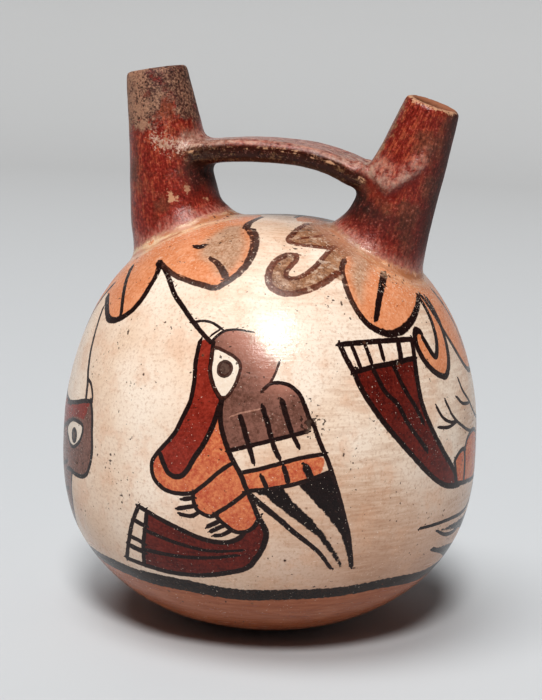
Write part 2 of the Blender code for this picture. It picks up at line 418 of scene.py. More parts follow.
def closed_up():
    """Ends the editing of a shell: its seams and poles are closed and its faces point outwards."""
    bpy.ops.mesh.select_all(action="SELECT")
    bpy.ops.mesh.remove_doubles(threshold=0.01 * MM)
    bpy.ops.mesh.normals_make_consistent(inside=False)
    bpy.ops.object.mode_set(mode="OBJECT")


def finished_with(piece, kind, **settings):
    """A modifier put on the piece and applied."""
    bpy.ops.object.select_all(action="DESELECT")
    bpy.context.view_layer.objects.active = piece
    piece.select_set(True)
    modifier = piece.modifiers.new(kind.capitalize(), kind)
    for name, value in settings.items():
        setattr(modifier, name, value)
    bpy.ops.object.modifier_apply(modifier=modifier.name)


def turned_on_wheel(name, profile, steps):
    """A closed form spun about Z from a profile that is extruded point by point."""
    made = begun(name, bpy.ops.mesh.primitive_plane_add, size=MM)
    bpy.ops.mesh.select_mode(type="VERT")
    bpy.ops.mesh.merge(type="CENTER")
    here = (0.0, 0.0)
    for row, there in enumerate(profile):
        step = ((there[0] - here[0]) * MM, 0.0, (there[1] - here[1]) * MM)
        if row:
            bpy.ops.mesh.extrude_region_move(TRANSFORM_OT_translate={"value": step})
        else:
            bpy.ops.transform.translate(value=step)
        here = there
    bpy.ops.mesh.select_all(action="SELECT")
    bpy.ops.mesh.spin(steps=steps, angle=2 * math.pi, center=(0, 0, 0), axis=(0, 0, 1))
    closed_up()
    return made


def drawn_out(rows):
    """Extrudes the selected end face through (point, lean, scale) rows, turning and sizing it at each."""
    here, lean, scale = rows[0]
    for there, leaning, scaled in rows[1:]:
        bpy.ops.mesh.extrude_region_move(TRANSFORM_OT_translate={"value": (there - here) * MM})
        bpy.ops.transform.rotate(value=lean - leaning, orient_axis="Y", center_override=there * MM)
        bpy.ops.transform.resize(value=(scaled / scale,) * 3, center_override=there * MM)
        here, lean, scale = there, leaning, scaled


def rolled(name, spout, rows, sides):
    """A round horn or core along the middle of a spout, through (distance, radius) rows."""
    middle = spout_line(spout, rows[0][0], rows[-1][0])
    placed = [(*along_line(middle, distance), radius) for distance, radius in rows]
    point, lean, radius = placed[0]
    made = begun(
        name,
        bpy.ops.mesh.primitive_circle_add,
        vertices=sides,
        radius=radius * MM,
        fill_type="NGON",
        location=point * MM,
        rotation=(0, lean, 0),
    )
    drawn_out(placed)
    closed_up()
    return made


def pulled_strap():
    """The flat strap, with rounded edges, bent over from spout to spout."""
    rows = strap_rows()
    points = [point for point, _ in rows]
    placed = []
    for row, (point, scale) in enumerate(rows):
        along = points[min(row + 1, len(points) - 1)] - points[max(row - 1, 0)]
        placed.append((point, math.atan2(along.x, along.z), scale))
    made = begun("strap", bpy.ops.mesh.primitive_plane_add, size=MM)
    bpy.ops.transform.resize(value=(STRAP_THICKNESS, STRAP_WIDTH, 1))
    bpy.ops.mesh.bevel(offset=STRAP_CORNER * MM, segments=5, affect="VERTICES")
    bpy.ops.mesh.select_all(action="SELECT")
    point, lean, scale = placed[0]
    bpy.ops.transform.rotate(value=-lean, orient_axis="Y", center_override=(0, 0, 0))
    bpy.ops.transform.resize(value=(scale,) * 3, center_override=(0, 0, 0))
    bpy.ops.transform.translate(value=point * MM)
    drawn_out(placed)
    closed_up()
    return made


def luted(piece, other, operation="UNION"):
    """Joins the other solid to the piece, or cuts it out of it."""
    if not other.data.materials:
        other.data.materials.append(piece.data.materials[0])
    finished_with(
        piece, "BOOLEAN", operation=operation, solver="EXACT", object=other, material_mode="TRANSFER"
    )
    bpy.data.objects.remove(other)


def points_of(piece):
    """The piece's points in millimetres."""
    flat = np.empty(len(piece.data.vertices) * 3, np.float32)
    piece.data.vertices.foreach_get("co", flat)
    return flat.reshape(-1, 3).astype(float) / MM


# Distances from the forms, for joins, slips and wear

BODY_ROWS = np.array(body_curve(MEASURED_ROWS))
HEIGHT_ROWS = BODY_ROWS[np.argsort(BODY_ROWS[:, 1], kind="stable")]


def smoothstep(low, high, values):
    """A share that grows smoothly from 0 at the low value to 1 at the high one."""
    share = np.clip((values - low) / (high - low), 0, 1)
    return share * share * (3 - 2 * share)


def fading(low, high, values):
    """A share that fades smoothly from 1 at the low value to 0 at the high one."""
    return 1 - smoothstep(low, high, values)


def between(low, grown, fades, high, values):
    """A share that is 1 from `grown` to `fades` and 0 outside the low and high values."""
    return smoothstep(low, grown, values) * fading(fades, high, values)


def off_leg(places, here, there):
    """The nearest place on a straight leg to each of these, as a share of the leg, and how far off and which
    way they lie from it."""
    leg = there - here
    share = np.clip((places - here) @ leg / max(leg @ leg, 1e-9), 0, 1)
    away = places - here - share[:, None] * leg
    return share, np.linalg.norm(away, axis=1), away


def body_gap(points):
    """How far each point stands out from the body's turned surface, and how far down its curve it lies."""
    flat = np.column_stack((np.hypot(points[:, 0], points[:, 1]), points[:, 2]))
    best = np.full(len(flat), 1e9)
    gap = np.zeros(len(flat))
    down = np.zeros(len(flat))
    run = 0.0
    for here, there in zip(BODY_ROWS, BODY_ROWS[1:]):
        leg = there - here
        share, distance, away = off_leg(flat, here, there)
        nearer = distance < best
        outward = away @ np.array((-leg[1], leg[0])) >= 0
        gap = np.where(nearer, np.where(outward, distance, -distance), gap)
        down = np.where(nearer, run + share * math.hypot(*leg), down)
        best = np.minimum(best, distance)
        run += math.hypot(*leg)
    return gap, down


def spout_gap(spout, points):
    """Each point's distance out from the spout's wall, how far along the spout it lies, and its place about
    the spout's middle line, in millimetres across it towards +X and +Y."""
    middle = spout_line(spout, -BASE_FLARE_SINK - 2 * BODY_WALL, spout.length, 40)
    best = np.full(len(points), 1e9)
    along = np.zeros(len(points))
    across = np.zeros((len(points), 2))
    for (near, here, lean), (far, there, _) in zip(middle, middle[1:]):
        share, distance, away = off_leg(points, np.array(here), np.array(there))
        nearer = distance < best
        side = np.array((math.cos(lean), 0.0, -math.sin(lean)))
        along = np.where(nearer, near + share * (far - near), along)
        across = np.where(nearer[:, None], np.column_stack((away @ side, away[:, 1])), across)
        best = np.minimum(best, distance)
    return best - taper(spout, along) - flare(along), along, across


def turn_from_front(across):
    """The turn round a spout, to the right from its front, of places about its middle line."""
    return np.degrees(np.arctan2(across[:, 0], -across[:, 1]))


def strap_gap(points):
    """Each point's distance out from the strap's surface, and its height above the strap's middle line."""
    rows = strap_rows()
    xs = np.array([point.x for point, _ in rows])
    heights = np.interp(points[:, 0], xs, [point.z for point, _ in rows])
    scales = np.interp(points[:, 0], xs, [scale for _, scale in rows])
    slope = np.gradient([point.z for point, _ in rows], xs)
    square = 1 / np.hypot(1, np.interp(points[:, 0], xs, slope))
    above = (points[:, 2] - heights) * square
    past_width = np.abs(points[:, 1]) - scales * STRAP_WIDTH / 2
    past_thickness = np.abs(above) - scales * STRAP_THICKNESS / 2
    out = np.column_stack((past_width, past_thickness)) + STRAP_CORNER
    gap = np.hypot(*np.maximum(out, 0).T) + np.minimum(out.max(axis=1), 0) - STRAP_CORNER
    beyond = np.maximum(xs[0] - points[:, 0], points[:, 0] - xs[-1])
    return np.where(beyond > 0, np.hypot(gap, beyond), gap), above


# Painting. Each figure is written in millimetres right and up of a middle on the body, along its surface.
# A chart gives that middle's bearing in degrees and its height.

CHARTS = {
    "bird": (7.0, 62.0),
    "left flower": (-14.0, 104.0),
    "shoulder": (20.0, 117.0),
    "right flower": (52.0, 96.0),
    "side belly": (74.0, 62.0),
    "outer petals": (96.0, 100.0),
    "side wing": (106.0, 58.0),
    "side head": (134.0, 66.0),
}
# How far behind a chart's middle the body is no longer painted from it, and the place that stands for there
CHART_DEPTH = 62.0
OFF_CHART = 999.0
# How far up and down from a chart's middle the body's slope is taken
SLOPE_STEP = 0.05
# How far in and out from the body's turned form its skin is painted, and from what height on
PAINTED_SKIN = (-1.5, 3.5)
PAINTED_FROM = 20.0
# How far from a patch's corners and a line's points the paint is looked for, and a line kept clear of others
PATCH_MARGIN = 6
LINE_MARGIN = 5
LINE_CLEARANCE = 1.7
# The side of a line and the distance that stand for no paint near
NO_SIDE = 9.0
NO_PAINT = 99.0


def flat_on(chart, points):
    """Each point's place in a chart, in millimetres right and up of the chart's middle."""
    bearing, height = CHARTS[chart]
    bearing = math.radians(bearing)
    out = np.array((math.sin(bearing), -math.cos(bearing), 0.0))
    right = np.array((math.cos(bearing), math.sin(bearing), 0.0))
    heights = (height - SLOPE_STEP, height, height + SLOPE_STEP)
    low, radius, high = np.interp(heights, HEIGHT_ROWS[:, 1], HEIGHT_ROWS[:, 0])
    up = out * (high - low) / (2 * SLOPE_STEP) + np.array((0.0, 0.0, 1.0))
    up /= np.linalg.norm(up)
    away = points - out * radius - np.array((0.0, 0.0, height))
    flat = np.column_stack((away @ right, away @ up))
    stretch = np.linalg.norm(away, axis=1) / np.maximum(np.hypot(flat[:, 0], flat[:, 1]), 1e-6)
    behind = away @ np.cross(right, up) < -CHART_DEPTH
    return np.where(behind[:, None], OFF_CHART, flat * stretch[:, None])


def area(colour, chart, *corners):
    """A patch of one slip, by its corners."""
    return ("area", colour, chart, np.array(corners, float))


def line(width, chart, *points, ink="ink", closed=False):
    """A brush line through these points. Its width is one number, or one for its start and one for its
    end."""
    return ("line", ink, chart, np.array(points, float), width, closed)


def lines(width, chart, *runs, ink="ink"):
    """Brush lines of one width, each through its own points."""
    return [line(width, chart, *run, ink=ink) for run in runs]


def flowing(points, closed):
    """A brush line's points with a smooth curve drawn through them."""
    if closed:
        around = np.vstack((points[-1], points, points[0], points[1]))
    else:
        around = np.vstack((2 * points[0] - points[1], points, 2 * points[-1] - points[-2]))
    drawn = []
    for before, here, there, after in zip(around, around[1:], around[2:], around[3:]):
        slope = there - before
        bend = 2 * before - 5 * here + 4 * there - after
        twist = 3 * here - before - 3 * there + after
        for share in (0.0, 0.25, 0.5, 0.75):
            drawn.append(here + (slope * share + bend * share**2 + twist * share**3) / 2)
    drawn.append(around[-2])
    return np.array(drawn)


def close_to(flat, outline, margin):
    """Which places lie close enough to this outline to be worth measuring."""
    return np.all((flat > outline.min(0) - margin) & (flat < outline.max(0) + margin), axis=1)


def patch_edge(flat, corners):
    """Distance from each place to the patch's edge, below 0 inside it."""
    edge = np.full(len(flat), NO_PAINT)
    near = close_to(flat, corners, PATCH_MARGIN)
    places = flat[near]
    best = edge[near]
    within = np.zeros(len(places), bool)
    for here, there in zip(corners, np.roll(corners, -1, axis=0)):
        best = np.minimum(best, off_leg(places, here, there)[1])
        crosses = (here[1] > places[:, 1]) != (there[1] > places[:, 1])
        run, rise = there - here
        within ^= crosses & (places[:, 0] < run * (places[:, 1] - here[1]) / (rise or 1e-9) + here[0])
    edge[near] = np.where(within, -best, best)
    return edge


def brush_line(flat, points, width, closed):
    """For each place, its side of the line's middle as a share of half its width, and its reach past the
    edge."""
    run = flowing(points, closed)
    start, end = np.array((width, width) if np.isscalar(width) else width) * BRUSH_LOAD
    side = np.full(len(flat), NO_SIDE)
    reach = np.full(len(flat), NO_PAINT)
    near = close_to(flat, run, LINE_MARGIN)
    places = flat[near]
    best_side = side[near]
    best_reach = reach[near]
    lengths = np.hypot(*np.diff(run, axis=0).T)
    gone = 0.0
    for here, there, length in zip(run, run[1:], lengths):
        share, distance, away = off_leg(places, here, there)
        half = (start + (end - start) * (gone + share * length) / lengths.sum()) / 2
        nearer = distance - half < best_reach
        leg = there - here
        signed = np.where(leg[0] * away[:, 1] - leg[1] * away[:, 0] < 0, -distance, distance)
        best_side = np.where(nearer, signed / half, best_side)
        best_reach = np.minimum(best_reach, distance - half)
        gone += length
    side[near] = best_side
    reach[near] = best_reach
    return side, reach


def upright_bird():
    """The bird in front, feeding at the flower above it."""
    here = "bird"
    throat = [(-11.8, 37.8), (-12.3, 32), (-12, 25), (-12.6, 19.5), (-14.5, 15), (-16.8, 10), (-21.3, 4.6)]
    breast = [
        (-21.3, 4.6), (-23.6, 1.5), (-24, -1), (-23.2, -4), (-21, -6.2), (-18, -7.5), (-14, -7.7), (-10, -7),
    ]
    crop = [
        (-21.3, 3.4), (-20, 0.7), (-18.2, -2), (-15, -2.8), (-12.4, -0.8), (-10, 3.6), (-7.5, 7.6),
        (-5.3, 12.6), (-4, 17), (-3, 20.8),
    ]
    second_lobe = [(-10, -7), (-9.8, -9.5), (-8.5, -12), (-5, -13.5), (-3, -12.9)]
    third_lobe = [(-3, -12.9), (-1.5, -14.5), (0.5, -16), (3, -17.5), (6, -17.3), (8.5, -15.5), (9.8, -13)]
    flank = [
        (-3, 20.8), (-3.1, 17), (-2.3, 12.5), (-0.5, 7.8), (1.7, 3.5), (4, 0), (5.4, -3.2), (7, -6.5),
        (8.6, -10), (10, -13.5),
    ]
    crown = [(-8.2, 37.6), (-6.9, 39.3), (-4.5, 41.2), (-0.7, 41.8), (3.9, 41.4)]
    nape = [
        (3.9, 41.4), (8.4, 41.0), (12.2, 38.8), (14.2, 35.8), (12.9, 33.9), (12.6, 31.2), (11.2, 27.4),
        (8.8, 24.6),
    ]
    shoulder = [
        (8.8, 24.6), (10.7, 26.6), (13.6, 27.1), (16.6, 26.4), (19.4, 24.2), (21.3, 20.8), (22.7, 17.6),
        (24.2, 15.2),
    ]
    wing_edge = [
        (24.7, 14.4), (26.4, 10.3), (28.9, 5.1), (31.1, -0.6), (33.2, -7.1), (35, -13.6), (36.4, -19.4),
        (37.6, -29.5),
    ]
    coverts = [(0.2, 6.5), (5, 8), (12, 10.2), (18, 12), (22.5, 13.4)]
    white_bar = [(4.2, 0.4), (10, 2), (17, 4.3), (22, 5.8), (28, 6.9)]
    orange_bar = [(5.8, -5), (12, -4), (18, -2.7), (24, -0.8), (29.8, 1.6)]
    eye = [
        (-7, 36), (-3.5, 35), (0, 33.3), (1.6, 31), (1, 27), (-0.5, 23.5), (-2.6, 21.3), (-5, 23.5),
        (-6.8, 26.5), (-7.5, 29.5), (-7.4, 33),
    ]
    tail_top = [
        (-28.4, -14.1), (-25.3, -15), (-20, -16.8), (-13, -19), (-7, -20.8), (-1, -21.3), (3, -20.2),
        (5.2, -18.3),
    ]
    tail_low = [
        (10.3, -13.5), (12, -17), (11.5, -21), (9, -26), (6, -29.5), (0, -31.7), (-8, -33.8), (-18, -34.8),
        (-27.8, -34.4), (-35, -34),
    ]
    tail_joint = [(-25.3, -15), (-26, -20), (-27.3, -27), (-28, -34.2)]
    pupil = [(-3, 32.2), (-1.3, 31.2), (-1.2, 29), (-2.8, 27.8), (-4.6, 28.5), (-5, 30.4), (-4.3, 31.8)]
    feather_front = [
        (8.4, -5.9), (11.2, -5.7), (14, -8.2), (19.5, -12.4), (26.5, -18), (31.7, -25), (34, -29.8),
    ]
    feather_back = [(17, -4), (19.3, -7), (24.6, -12.2), (29.2, -17.8), (33.7, -26), (34.9, -29.3)]
    quill_front = [(20.6, -2.4), (23.6, -5.4), (29.2, -11.5), (34, -18.5), (36.2, -25.4), (37.2, -30.6)]
    quill_back = [(29.8, 1.4), (31.4, -1), (33.5, -6.5), (36, -16), (37.6, -24.6), (38, -30)]
    return [
        area(
            "orange", here, *throat[-1:], *breast, *second_lobe, *third_lobe, *flank[::-1], (-4, 17),
            (-5.3, 12.6),
        ),
        area("orange", here, *white_bar[:-1], (27.6, 6.3), (28.4, 4.4), (27.2, 1), *orange_bar[3::-1]),
        area(
            "brown", here, *crown, *nape, *shoulder, (24.2, 15.4), *coverts[::-1], *flank[3::-1], (-7.4, 33),
            (-7.6, 36.5),
        ),
        area("red", here, *throat, *crop, (-6, 26.5), (-7.4, 33), (-7.8, 37), (-10, 38.6)),
        area("dark_red", here, *tail_joint[::-1], *tail_top[1:], *third_lobe[-2:], *tail_low[:-1]),
        area("cream", here, *eye),
        area("pupil", here, *pupil),
        area("ink", here, (6.2, -4.8), (11, -4), (16.8, -3), *feather_back, *feather_front[::-1]),
        area("ink", here, *quill_front, *quill_back[::-1]),
        *lines(1.25, here, throat, breast),
        line(1.5, here, *crop),
        *lines(1.2, here, second_lobe, third_lobe),
        line(1.4, here, *flank),
        line((0.9, 0.5), here, *crown),
        line((0.9, 1.3), here, *shoulder),
        line(0.7, here, (12.8, 33), (11.9, 29.5), (10.2, 26), (8.8, 24.6), ink="worn_ink"),
        line((1.2, 1.5), here, (24.2, 15.2), *wing_edge),
        line(0.45, here, (0.2, 16.4), (2.7, 17.6), (4.6, 18.1), (8.2, 19.1), ink="scratch"),
        *lines(1.2, here, coverts, white_bar, orange_bar),
        line(0.95, here, *eye, closed=True, ink="worn_ink"),
        line(0.9, here, *pupil, closed=True, ink="worn_ink"),
        line(1.2, here, (-7.6, 37), (-7.5, 33), (-7.5, 29.5), (-6.6, 26.3), (-5, 23.4), (-3, 20.8)),
        line(1.4, here, *tail_top),
        line(1.6, here, *tail_low),
        line(1.4, here, *tail_joint),
        line(1.4, here, (-28.4, -14.1), (-31, -20), (-33, -27), (-35, -34)),
        line((1.3, 0.8), here, (-26, -21.4), (-15, -23.5), (-5, -24.5), (5, -23.3)),
        line((1.4, 0.9), here, (-27.4, -28.3), (-15, -28), (-5, -26.9), (3.6, -25)),
        line(1.2, here, (-10, -7), (-6, -3.5), (-3, -0.5), (0, 2), (1.5, 3)),
        line(1.2, here, (-3.4, -12.8), (0, -10.4), (3, -8), (5.6, -5.6)),
        line(
            (1.8, 1.1), here, (7, -6), (12.2, -10.2), (15.9, -13.1), (19.6, -16.5), (27.1, -23.2),
            (31.2, -29.6),
        ),
        line(
            (1.6, 1.3), "left flower", (-15.5, 18), (-10, 13), (-5, 7.5), (0, 3.5), (5, -0.5), (10, -4),
            (12.5, -5.5),
        ),
        line(0.8, "left flower", (5, -0.9), (8, 0.2), (11, 0.3), (14.5, -0.9)),
        line(0.6, "left flower", (14.5, -0.9), (13.3, -2.2), (12, -3.8)),
        *lines(1.5, here, [(-30.2, -19), (-26, -20)], [(-32.2, -25), (-27, -26)]),
        line(1.8, here, (-33, -28.4), (-27.5, -29.4)),
        line((1.5, 1.3), here, (3, 16.5), (5, 11), (7.6, 3.8)),
        line((1.4, 1.4), here, (9.2, 19.6), (11, 15), (13, 9), (14.8, 5.4)),
        line((1.6, 1.2), here, (14.7, 21.6), (16, 18), (18, 13), (20.2, 9)),
        line(1.3, here, (10.2, -0.5), (11.8, -3.6)),
        line(1.4, here, (16.5, 2.5), (17.8, -1.5)),
        line(2.0, here, (22.6, 3), (24.4, -0.3)),
        *lines(1.3, here, [(-10, -8.5), (-13, -9.2)], [(-9.5, -10.8), (-14.5, -12.3)]),
        line((1.3, 1.1), here, (-8.3, -12.8), (-10.5, -14.1), (-13.9, -14)),
        *lines(1.3, here, [(-2, -14.8), (-5.2, -16.6)], [(-0.7, -16), (-4.2, -18)]),
        line((1.3, 1.1), here, (1.7, -17.2), (-1, -18.9), (-3.2, -19.3)),
    ]


def left_flower():
    """The petals at the foot of the taller spout."""
    here = "left flower"
    petal = [
        (-17.3, 18.6), (-15.7, 14), (-16, 10), (-17, 5), (-19.5, 1.2), (-23, -1), (-27, -1.8), (-31, -0.5),
        (-35, 3.5), (-39.5, 9),
    ]
    broad = [
        (-15.5, 18), (-13, 16.5), (-8, 14), (-2, 12.5), (4, 11.6), (7.7, 11.4), (9.3, 12.9), (10.9, 15.2),
        (12.5, 18.9), (12.9, 23.4), (12.1, 28), (10.3, 32.4), (7.8, 36.1), (4.3, 39.6),
    ]
    upper_edge = [(1.6, 41), (-0.6, 45), (-2.2, 50.5), (-4.5, 56.5)]
    return [
        area(
            "peach", here, *petal, (-46, 15), (-46, 34), (-30, 50), (-10, 62), *upper_edge[::-1],
            *broad[::-1],
        ),
        area(
            "haze", here, (-9, 27), (-5, 20), (1, 18), (5, 13.5), (10, 14.5), (12.5, 19), (13, 24), (12, 28),
            (10, 33), (4, 40), (0, 46), (-8, 42),
        ),
        line((1.9, 2.2), here, *petal),
        line(2.4, here, (-18.2, 19.2), (-16.3, 17.6)),
        line((1.5, 2.0), here, *broad[:8], ink="worn_ink"),
        line((2.0, 3.0), here, *broad[7:14], ink="worn_ink"),
        line((2.6, 1.2), here, *broad[13:], (1.9, 40.2), ink="worn_ink"),
        line((2.6, 1.6), here, *upper_edge, ink="worn_ink"),
        line((1.9, 1.4), here, (-33.5, 20), (-31, 14), (-28, 8), (-25, 2), (-24.3, 0)),
        line((2.4, 1.5), here, (-5.2, 27.2), (-6.4, 26.4), (-8.2, 26.8)),
        line((1.5, 2.2), here, (1, 21.9), (4.5, 20.2), (8.8, 16.4), ink="worn_ink"),
    ]


def right_flower():
    """The petals at the foot of the shorter spout, one of them a curl."""
    above, here = "shoulder", "right flower"
    pointed = [(9, 35), (5.5, 27), (3.5, 22), (2, 18), (3.5, 15.5), (9, 15), (14, 15.3), (16.3, 17)]
    curl_out = [
        (4, 9.5), (1.3, 9.3), (-2, 6.5), (-4, 2), (-4, -3), (-1, -6), (3, -6.3), (8, -4.2), (13, -0.3),
        (16.5, 4),
    ]
    curl_in = [
        (4.2, 9.3), (4, 7), (2.5, 4.6), (1, 1.5), (1.6, -0.6), (5, 0), (9, 4), (12, 9), (14.5, 14),
        (16, 16.5),
    ]
    lobe = [
        (-1.5, 32.5), (-4.5, 29), (-6, 24), (-6.5, 18), (-5.5, 13), (-3.5, 9.5), (0, 7), (4, 6), (9, 7),
        (14, 10), (19, 14.5), (22.6, 18.8),
    ]
    hook_in = [(22.6, 18.8), (24.3, 12), (24, 5), (22.4, 0), (21, -1.6), (19, 0.4), (17, 4.4)]
    hook_out = [
        (16.4, 6.4), (15, 7.2), (13.6, 5.2), (13.3, 1.5), (15.3, -2.8), (19, -6), (23, -7.5), (26, -7),
        (28.5, -3), (29.7, 3), (29.7, 10), (28.6, 15), (27.3, 18.6),
    ]
    outer = [
        (-13.5, 13), (-13, 4), (-12, -1), (-9.6, -6.5), (-5.5, -12.4), (0, -15.5), (6, -15), (12, -10.5),
        (16, -4), (18.5, 3), (20, 11),
    ]
    return [
        area("tan", above, *pointed, (15, 9), *curl_in[-2:], (18, 10), (24, 18), (30, 34), (14, 40)),
        area("tan", above, *curl_out, (17.5, 12), (16, 16.5), *curl_in[::-1]),
        area("peach", here, *lobe, (26, 23), (30, 34), (8, 46), (-2, 38)),
        area("tan", here, (-1, 34), (-4.5, 29), (-5.8, 25), (-7, 24.5), (-9.5, 27), (-9.5, 30), (-6, 36)),
        area(
            "haze", here, (-1.5, 32.5), (-4.5, 29), (-6, 24), (-6.3, 18), (-4.5, 12), (-1, 15.5), (2, 20.5),
            (6, 25), (10.5, 30), (15, 37), (0, 42),
        ),
        area("peach", here, *hook_in, *hook_out, (25, 26)),
        area("peach", "outer petals", *outer, (14, 26), (-14, 26)),
        line(1.8, above, *pointed, ink="umber"),
        line((1.1, 1.5), above, (5.5, 19), (11, 22), (17.5, 27.5), ink="umber"),
        line(2.0, above, *curl_out, ink="umber"),
        line(1.5, above, *curl_in, ink="umber"),
        line((1.6, 1.8), here, *lobe[:5], ink="worn_ink"),
        line((1.8, 2.5), here, *lobe[4:9]),
        line((2.5, 1.7), here, *lobe[8:]),
        line((2.5, 1.6), here, (10.8, 26.4), (7.5, 22.4), (3.6, 17.1), (0, 11)),
        line(1.7, here, *hook_in),
        line(1.9, here, *hook_out),
        line(1.7, "outer petals", *outer),
        line(1.5, "outer petals", (-1, 12), (1.5, 5), (3, -3), (3.4, -8)),
    ]


def side_bird():
    """The bird that lies along the vessel's end, its tail high and its head away from the viewer."""
    tail, belly, wing, head = "right flower", "side belly", "side wing", "side head"
    fan_out = [
        (-11.8, -4.5), (-10.5, -9), (-8, -14), (-4, -20), (1, -25.5), (7, -31), (13, -35.7), (19, -39.2),
        (24, -41), (29, -41.6), (33, -41.5),
    ]
    fan_in = [
        (11, -2), (10.7, -8), (11.5, -15), (13.5, -20), (17, -25.5), (22, -31), (27, -35.2), (30.5, -38.5),
    ]
    cuff = [(-14.5, 4.2), (-3, 4), (11.6, 4)]
    cuff_low = [(-11.8, -4.5), (-5, -3.5), (2, -3), (11, -1.8)]
    lobes_top = [(3, -0.6), (6, 1.3), (9, 2), (10.6, 1.4)]
    second_top = [(10.6, 1.4), (13, 4.5), (18, 6.2), (23, 5.6), (26.3, 3.6)]
    lobes_low = [(4, -8.2), (11, -9), (20, -10), (26.5, -10.4)]
    breast = [(-10.6, 7.4), (-7, 12), (-1, 14.6), (6, 15), (13, 14), (21, 13.4)]
    crop = [(-2.4, 12.6), (-4.6, 8.6), (-3, 4.2), (3, 2.6), (10, 3.4), (16, 5.4), (22, 8.2)]
    flank = [(-11, -6.8), (-5, -6.6), (1, -4), (6, -0.5), (11, 2.6)]
    wing_low = [
        (28, -7.4), (26, -12), (24, -18), (20, -25), (13, -31), (5, -34.6), (-3, -35.6), (-11, -34.2),
        (-19, -31), (-28, -27.8), (-36.4, -25.4),
    ]
    crown = [
        (6.6, 9.4), (8.6, 5.5), (9.6, 0), (10.3, -5), (9, -10.5), (6, -14), (0, -15), (-6, -14.6),
        (-10, -15.2),
    ]
    brow = [(-16, 4.8), (-11, 5.7), (-4, 7), (1.5, 8.5), (6.6, 9.4)]
    eye = [
        (-12, -2.5), (-8, 0.5), (-3, 1.5), (2.5, 1.2), (3.2, -1.2), (1, -4.5), (-3, -6.8), (-7, -6.8),
        (-10.5, -4.8),
    ]
    pupil = [(-3.5, -1.5), (-1.9, -2.4), (-1.8, -4.2), (-3.5, -5.1), (-5.2, -4.3), (-5.2, -2.4)]
    bars = [
        [(3.5, -2.6), (5, -12), (8, -22), (10, -32)], [(-2.5, -5.6), (-1.5, -14), (0.5, -25), (1.5, -35)],
        [(-9, -7), (-8.5, -16), (-8, -25), (-7.6, -34.6)],
    ]
    return [
        area("dark_red", tail, *fan_out, *fan_in[::-1], *cuff_low[::-1]),
        area("orange", belly, (3.5, -8), (3, -0.6), *lobes_top, *second_top, (27, -4), *lobes_low[::-1]),
        area("orange", wing, *breast, (22, 8.2), *flank[::-1]),
        area("orange", wing, *bars[1], *bars[2][::-1]),
        area(
            "brown", wing, (11, 2.6), (16, 5.4), (24, 8), (30, 4), *wing_low[:5], (10, -32), (8, -22),
            (5, -12), (3.5, -2.6),
        ),
        area("brown", head, (-15, 3), *brow, *crown),
        area("red", wing, (21, 13.4), (13, 13.6), (6, 14.4), (0, 13.6), *crop),
        area(
            "red", head, (-16, 4.8), *brow[1:], (5.4, 7.2), (3.6, 3), (-3, 2.6), (-8, 1.6), (-12, -1),
            (-16, -1.6),
        ),
        area("cream", head, *eye),
        area("pupil", head, *pupil),
        area(
            "ink", wing, (-8.4, -17), (-8, -24), (-17.6, -21.9), (-30, -19.8), (-38, -18.6), (-30, -18.2),
            (-17, -18),
        ),
        area(
            "ink", wing, (-8, -26.5), (-7.6, -34.6), (-11, -34.2), (-19, -31), (-28, -27.8), (-37, -25.2),
            (-26, -25.8), (-16, -27.4),
        ),
        line(1.6, tail, *cuff),
        line(1.6, tail, (-14.5, 4.2), (-13.5, 0), (-11.8, -4.5)),
        line(1.6, tail, (11.6, 4), (11.4, 1), (11, -2)),
        line(1.5, tail, *cuff_low),
        line(1.6, tail, *fan_out),
        line(1.7, tail, *fan_in),
        line(1.4, tail, (-5.5, -4), (-2.5, -11), (1.5, -15), (5, -21), (9, -25.5), (13, -29.5)),
        line(1.4, tail, (2, -3.4), (4.5, -10), (8, -15.5), (11.5, -21)),
        *lines(1.2, tail, [(-10.9, 3.6), (-9.4, -3.8)], [(-6.5, 3.6), (-5.5, -2.4)]),
        line(1.3, tail, (-1.3, 3.5), (-1.1, -1.4)),
        line(1.8, tail, (6, 3.6), (5.5, -2.2)),
        line((0.8, 1.7), belly, (-3, -21.8), (3, -24.3), (9, -25.2), (14, -25)),
        line(1.3, belly, *lobes_top),
        line(1.3, belly, (3, -0.6), (4, -4), (5, -7.8)),
        line(1.4, belly, (10.6, 1.4), (11.2, -3), (11.4, -8.8)),
        line(1.3, belly, *second_top),
        line(1.3, belly, (26.3, 3.6), (27, -3), (26.5, -10.2)),
        line(1.4, belly, *lobes_low),
        line(1.0, belly, (-6.3, 17.3), (-3.5, 13.5), (1, 11.5), (4.5, 11.4)),
        line(1.0, belly, (-1, 18.3), (1.5, 14)),
        line(1.0, belly, (1.5, 14), (4.5, 11.4), (9, 9), (14, 7), (18, 6.2)),
        line(1.0, belly, (-6, 11), (-1, 10.3), (4.5, 11.2)),
        line(1.0, belly, (10, 23.5), (12, 19.5), (16, 16.2), (21, 12), (26, 9.6), (30, 8.4)),
        line(1.0, belly, (6.5, 18.5), (10, 16), (16, 15.2)),
        line(1.3, wing, *breast),
        *lines(1.4, wing, crop, flank),
        line((1.0, 1.5), wing, *wing_low),
        *lines(1.2, wing, *bars),
        *lines(1.1, wing, [(21, -14), (12, -16)], [(18, -22), (9, -24)], [(22, -5), (13, -8)]),
        *lines(1.2, wing, [(1.5, -12), (-6, -13)], [(3, -22), (-4, -23.5)], [(4, -30), (-4, -31.5)]),
        line((1.6, 1.0), wing, (-9.5, -9), (-13, -14.2), (-20, -15.8), (-32, -15.8), (-47.6, -16.3)),
        *lines(1.3, head, crown, brow),
        line(1.1, head, *eye, closed=True),
        line(1.3, head, *pupil, closed=True),
        line((1.2, 1.4), head, (-9, 37), (-5.5, 30), (-3, 24), (0, 18), (2, 14), (3, 9.5)),
        line(1.0, head, (1.6, 15.4), (4.5, 14.3), (6.8, 11.5), (7.2, 9.2)),
    ]


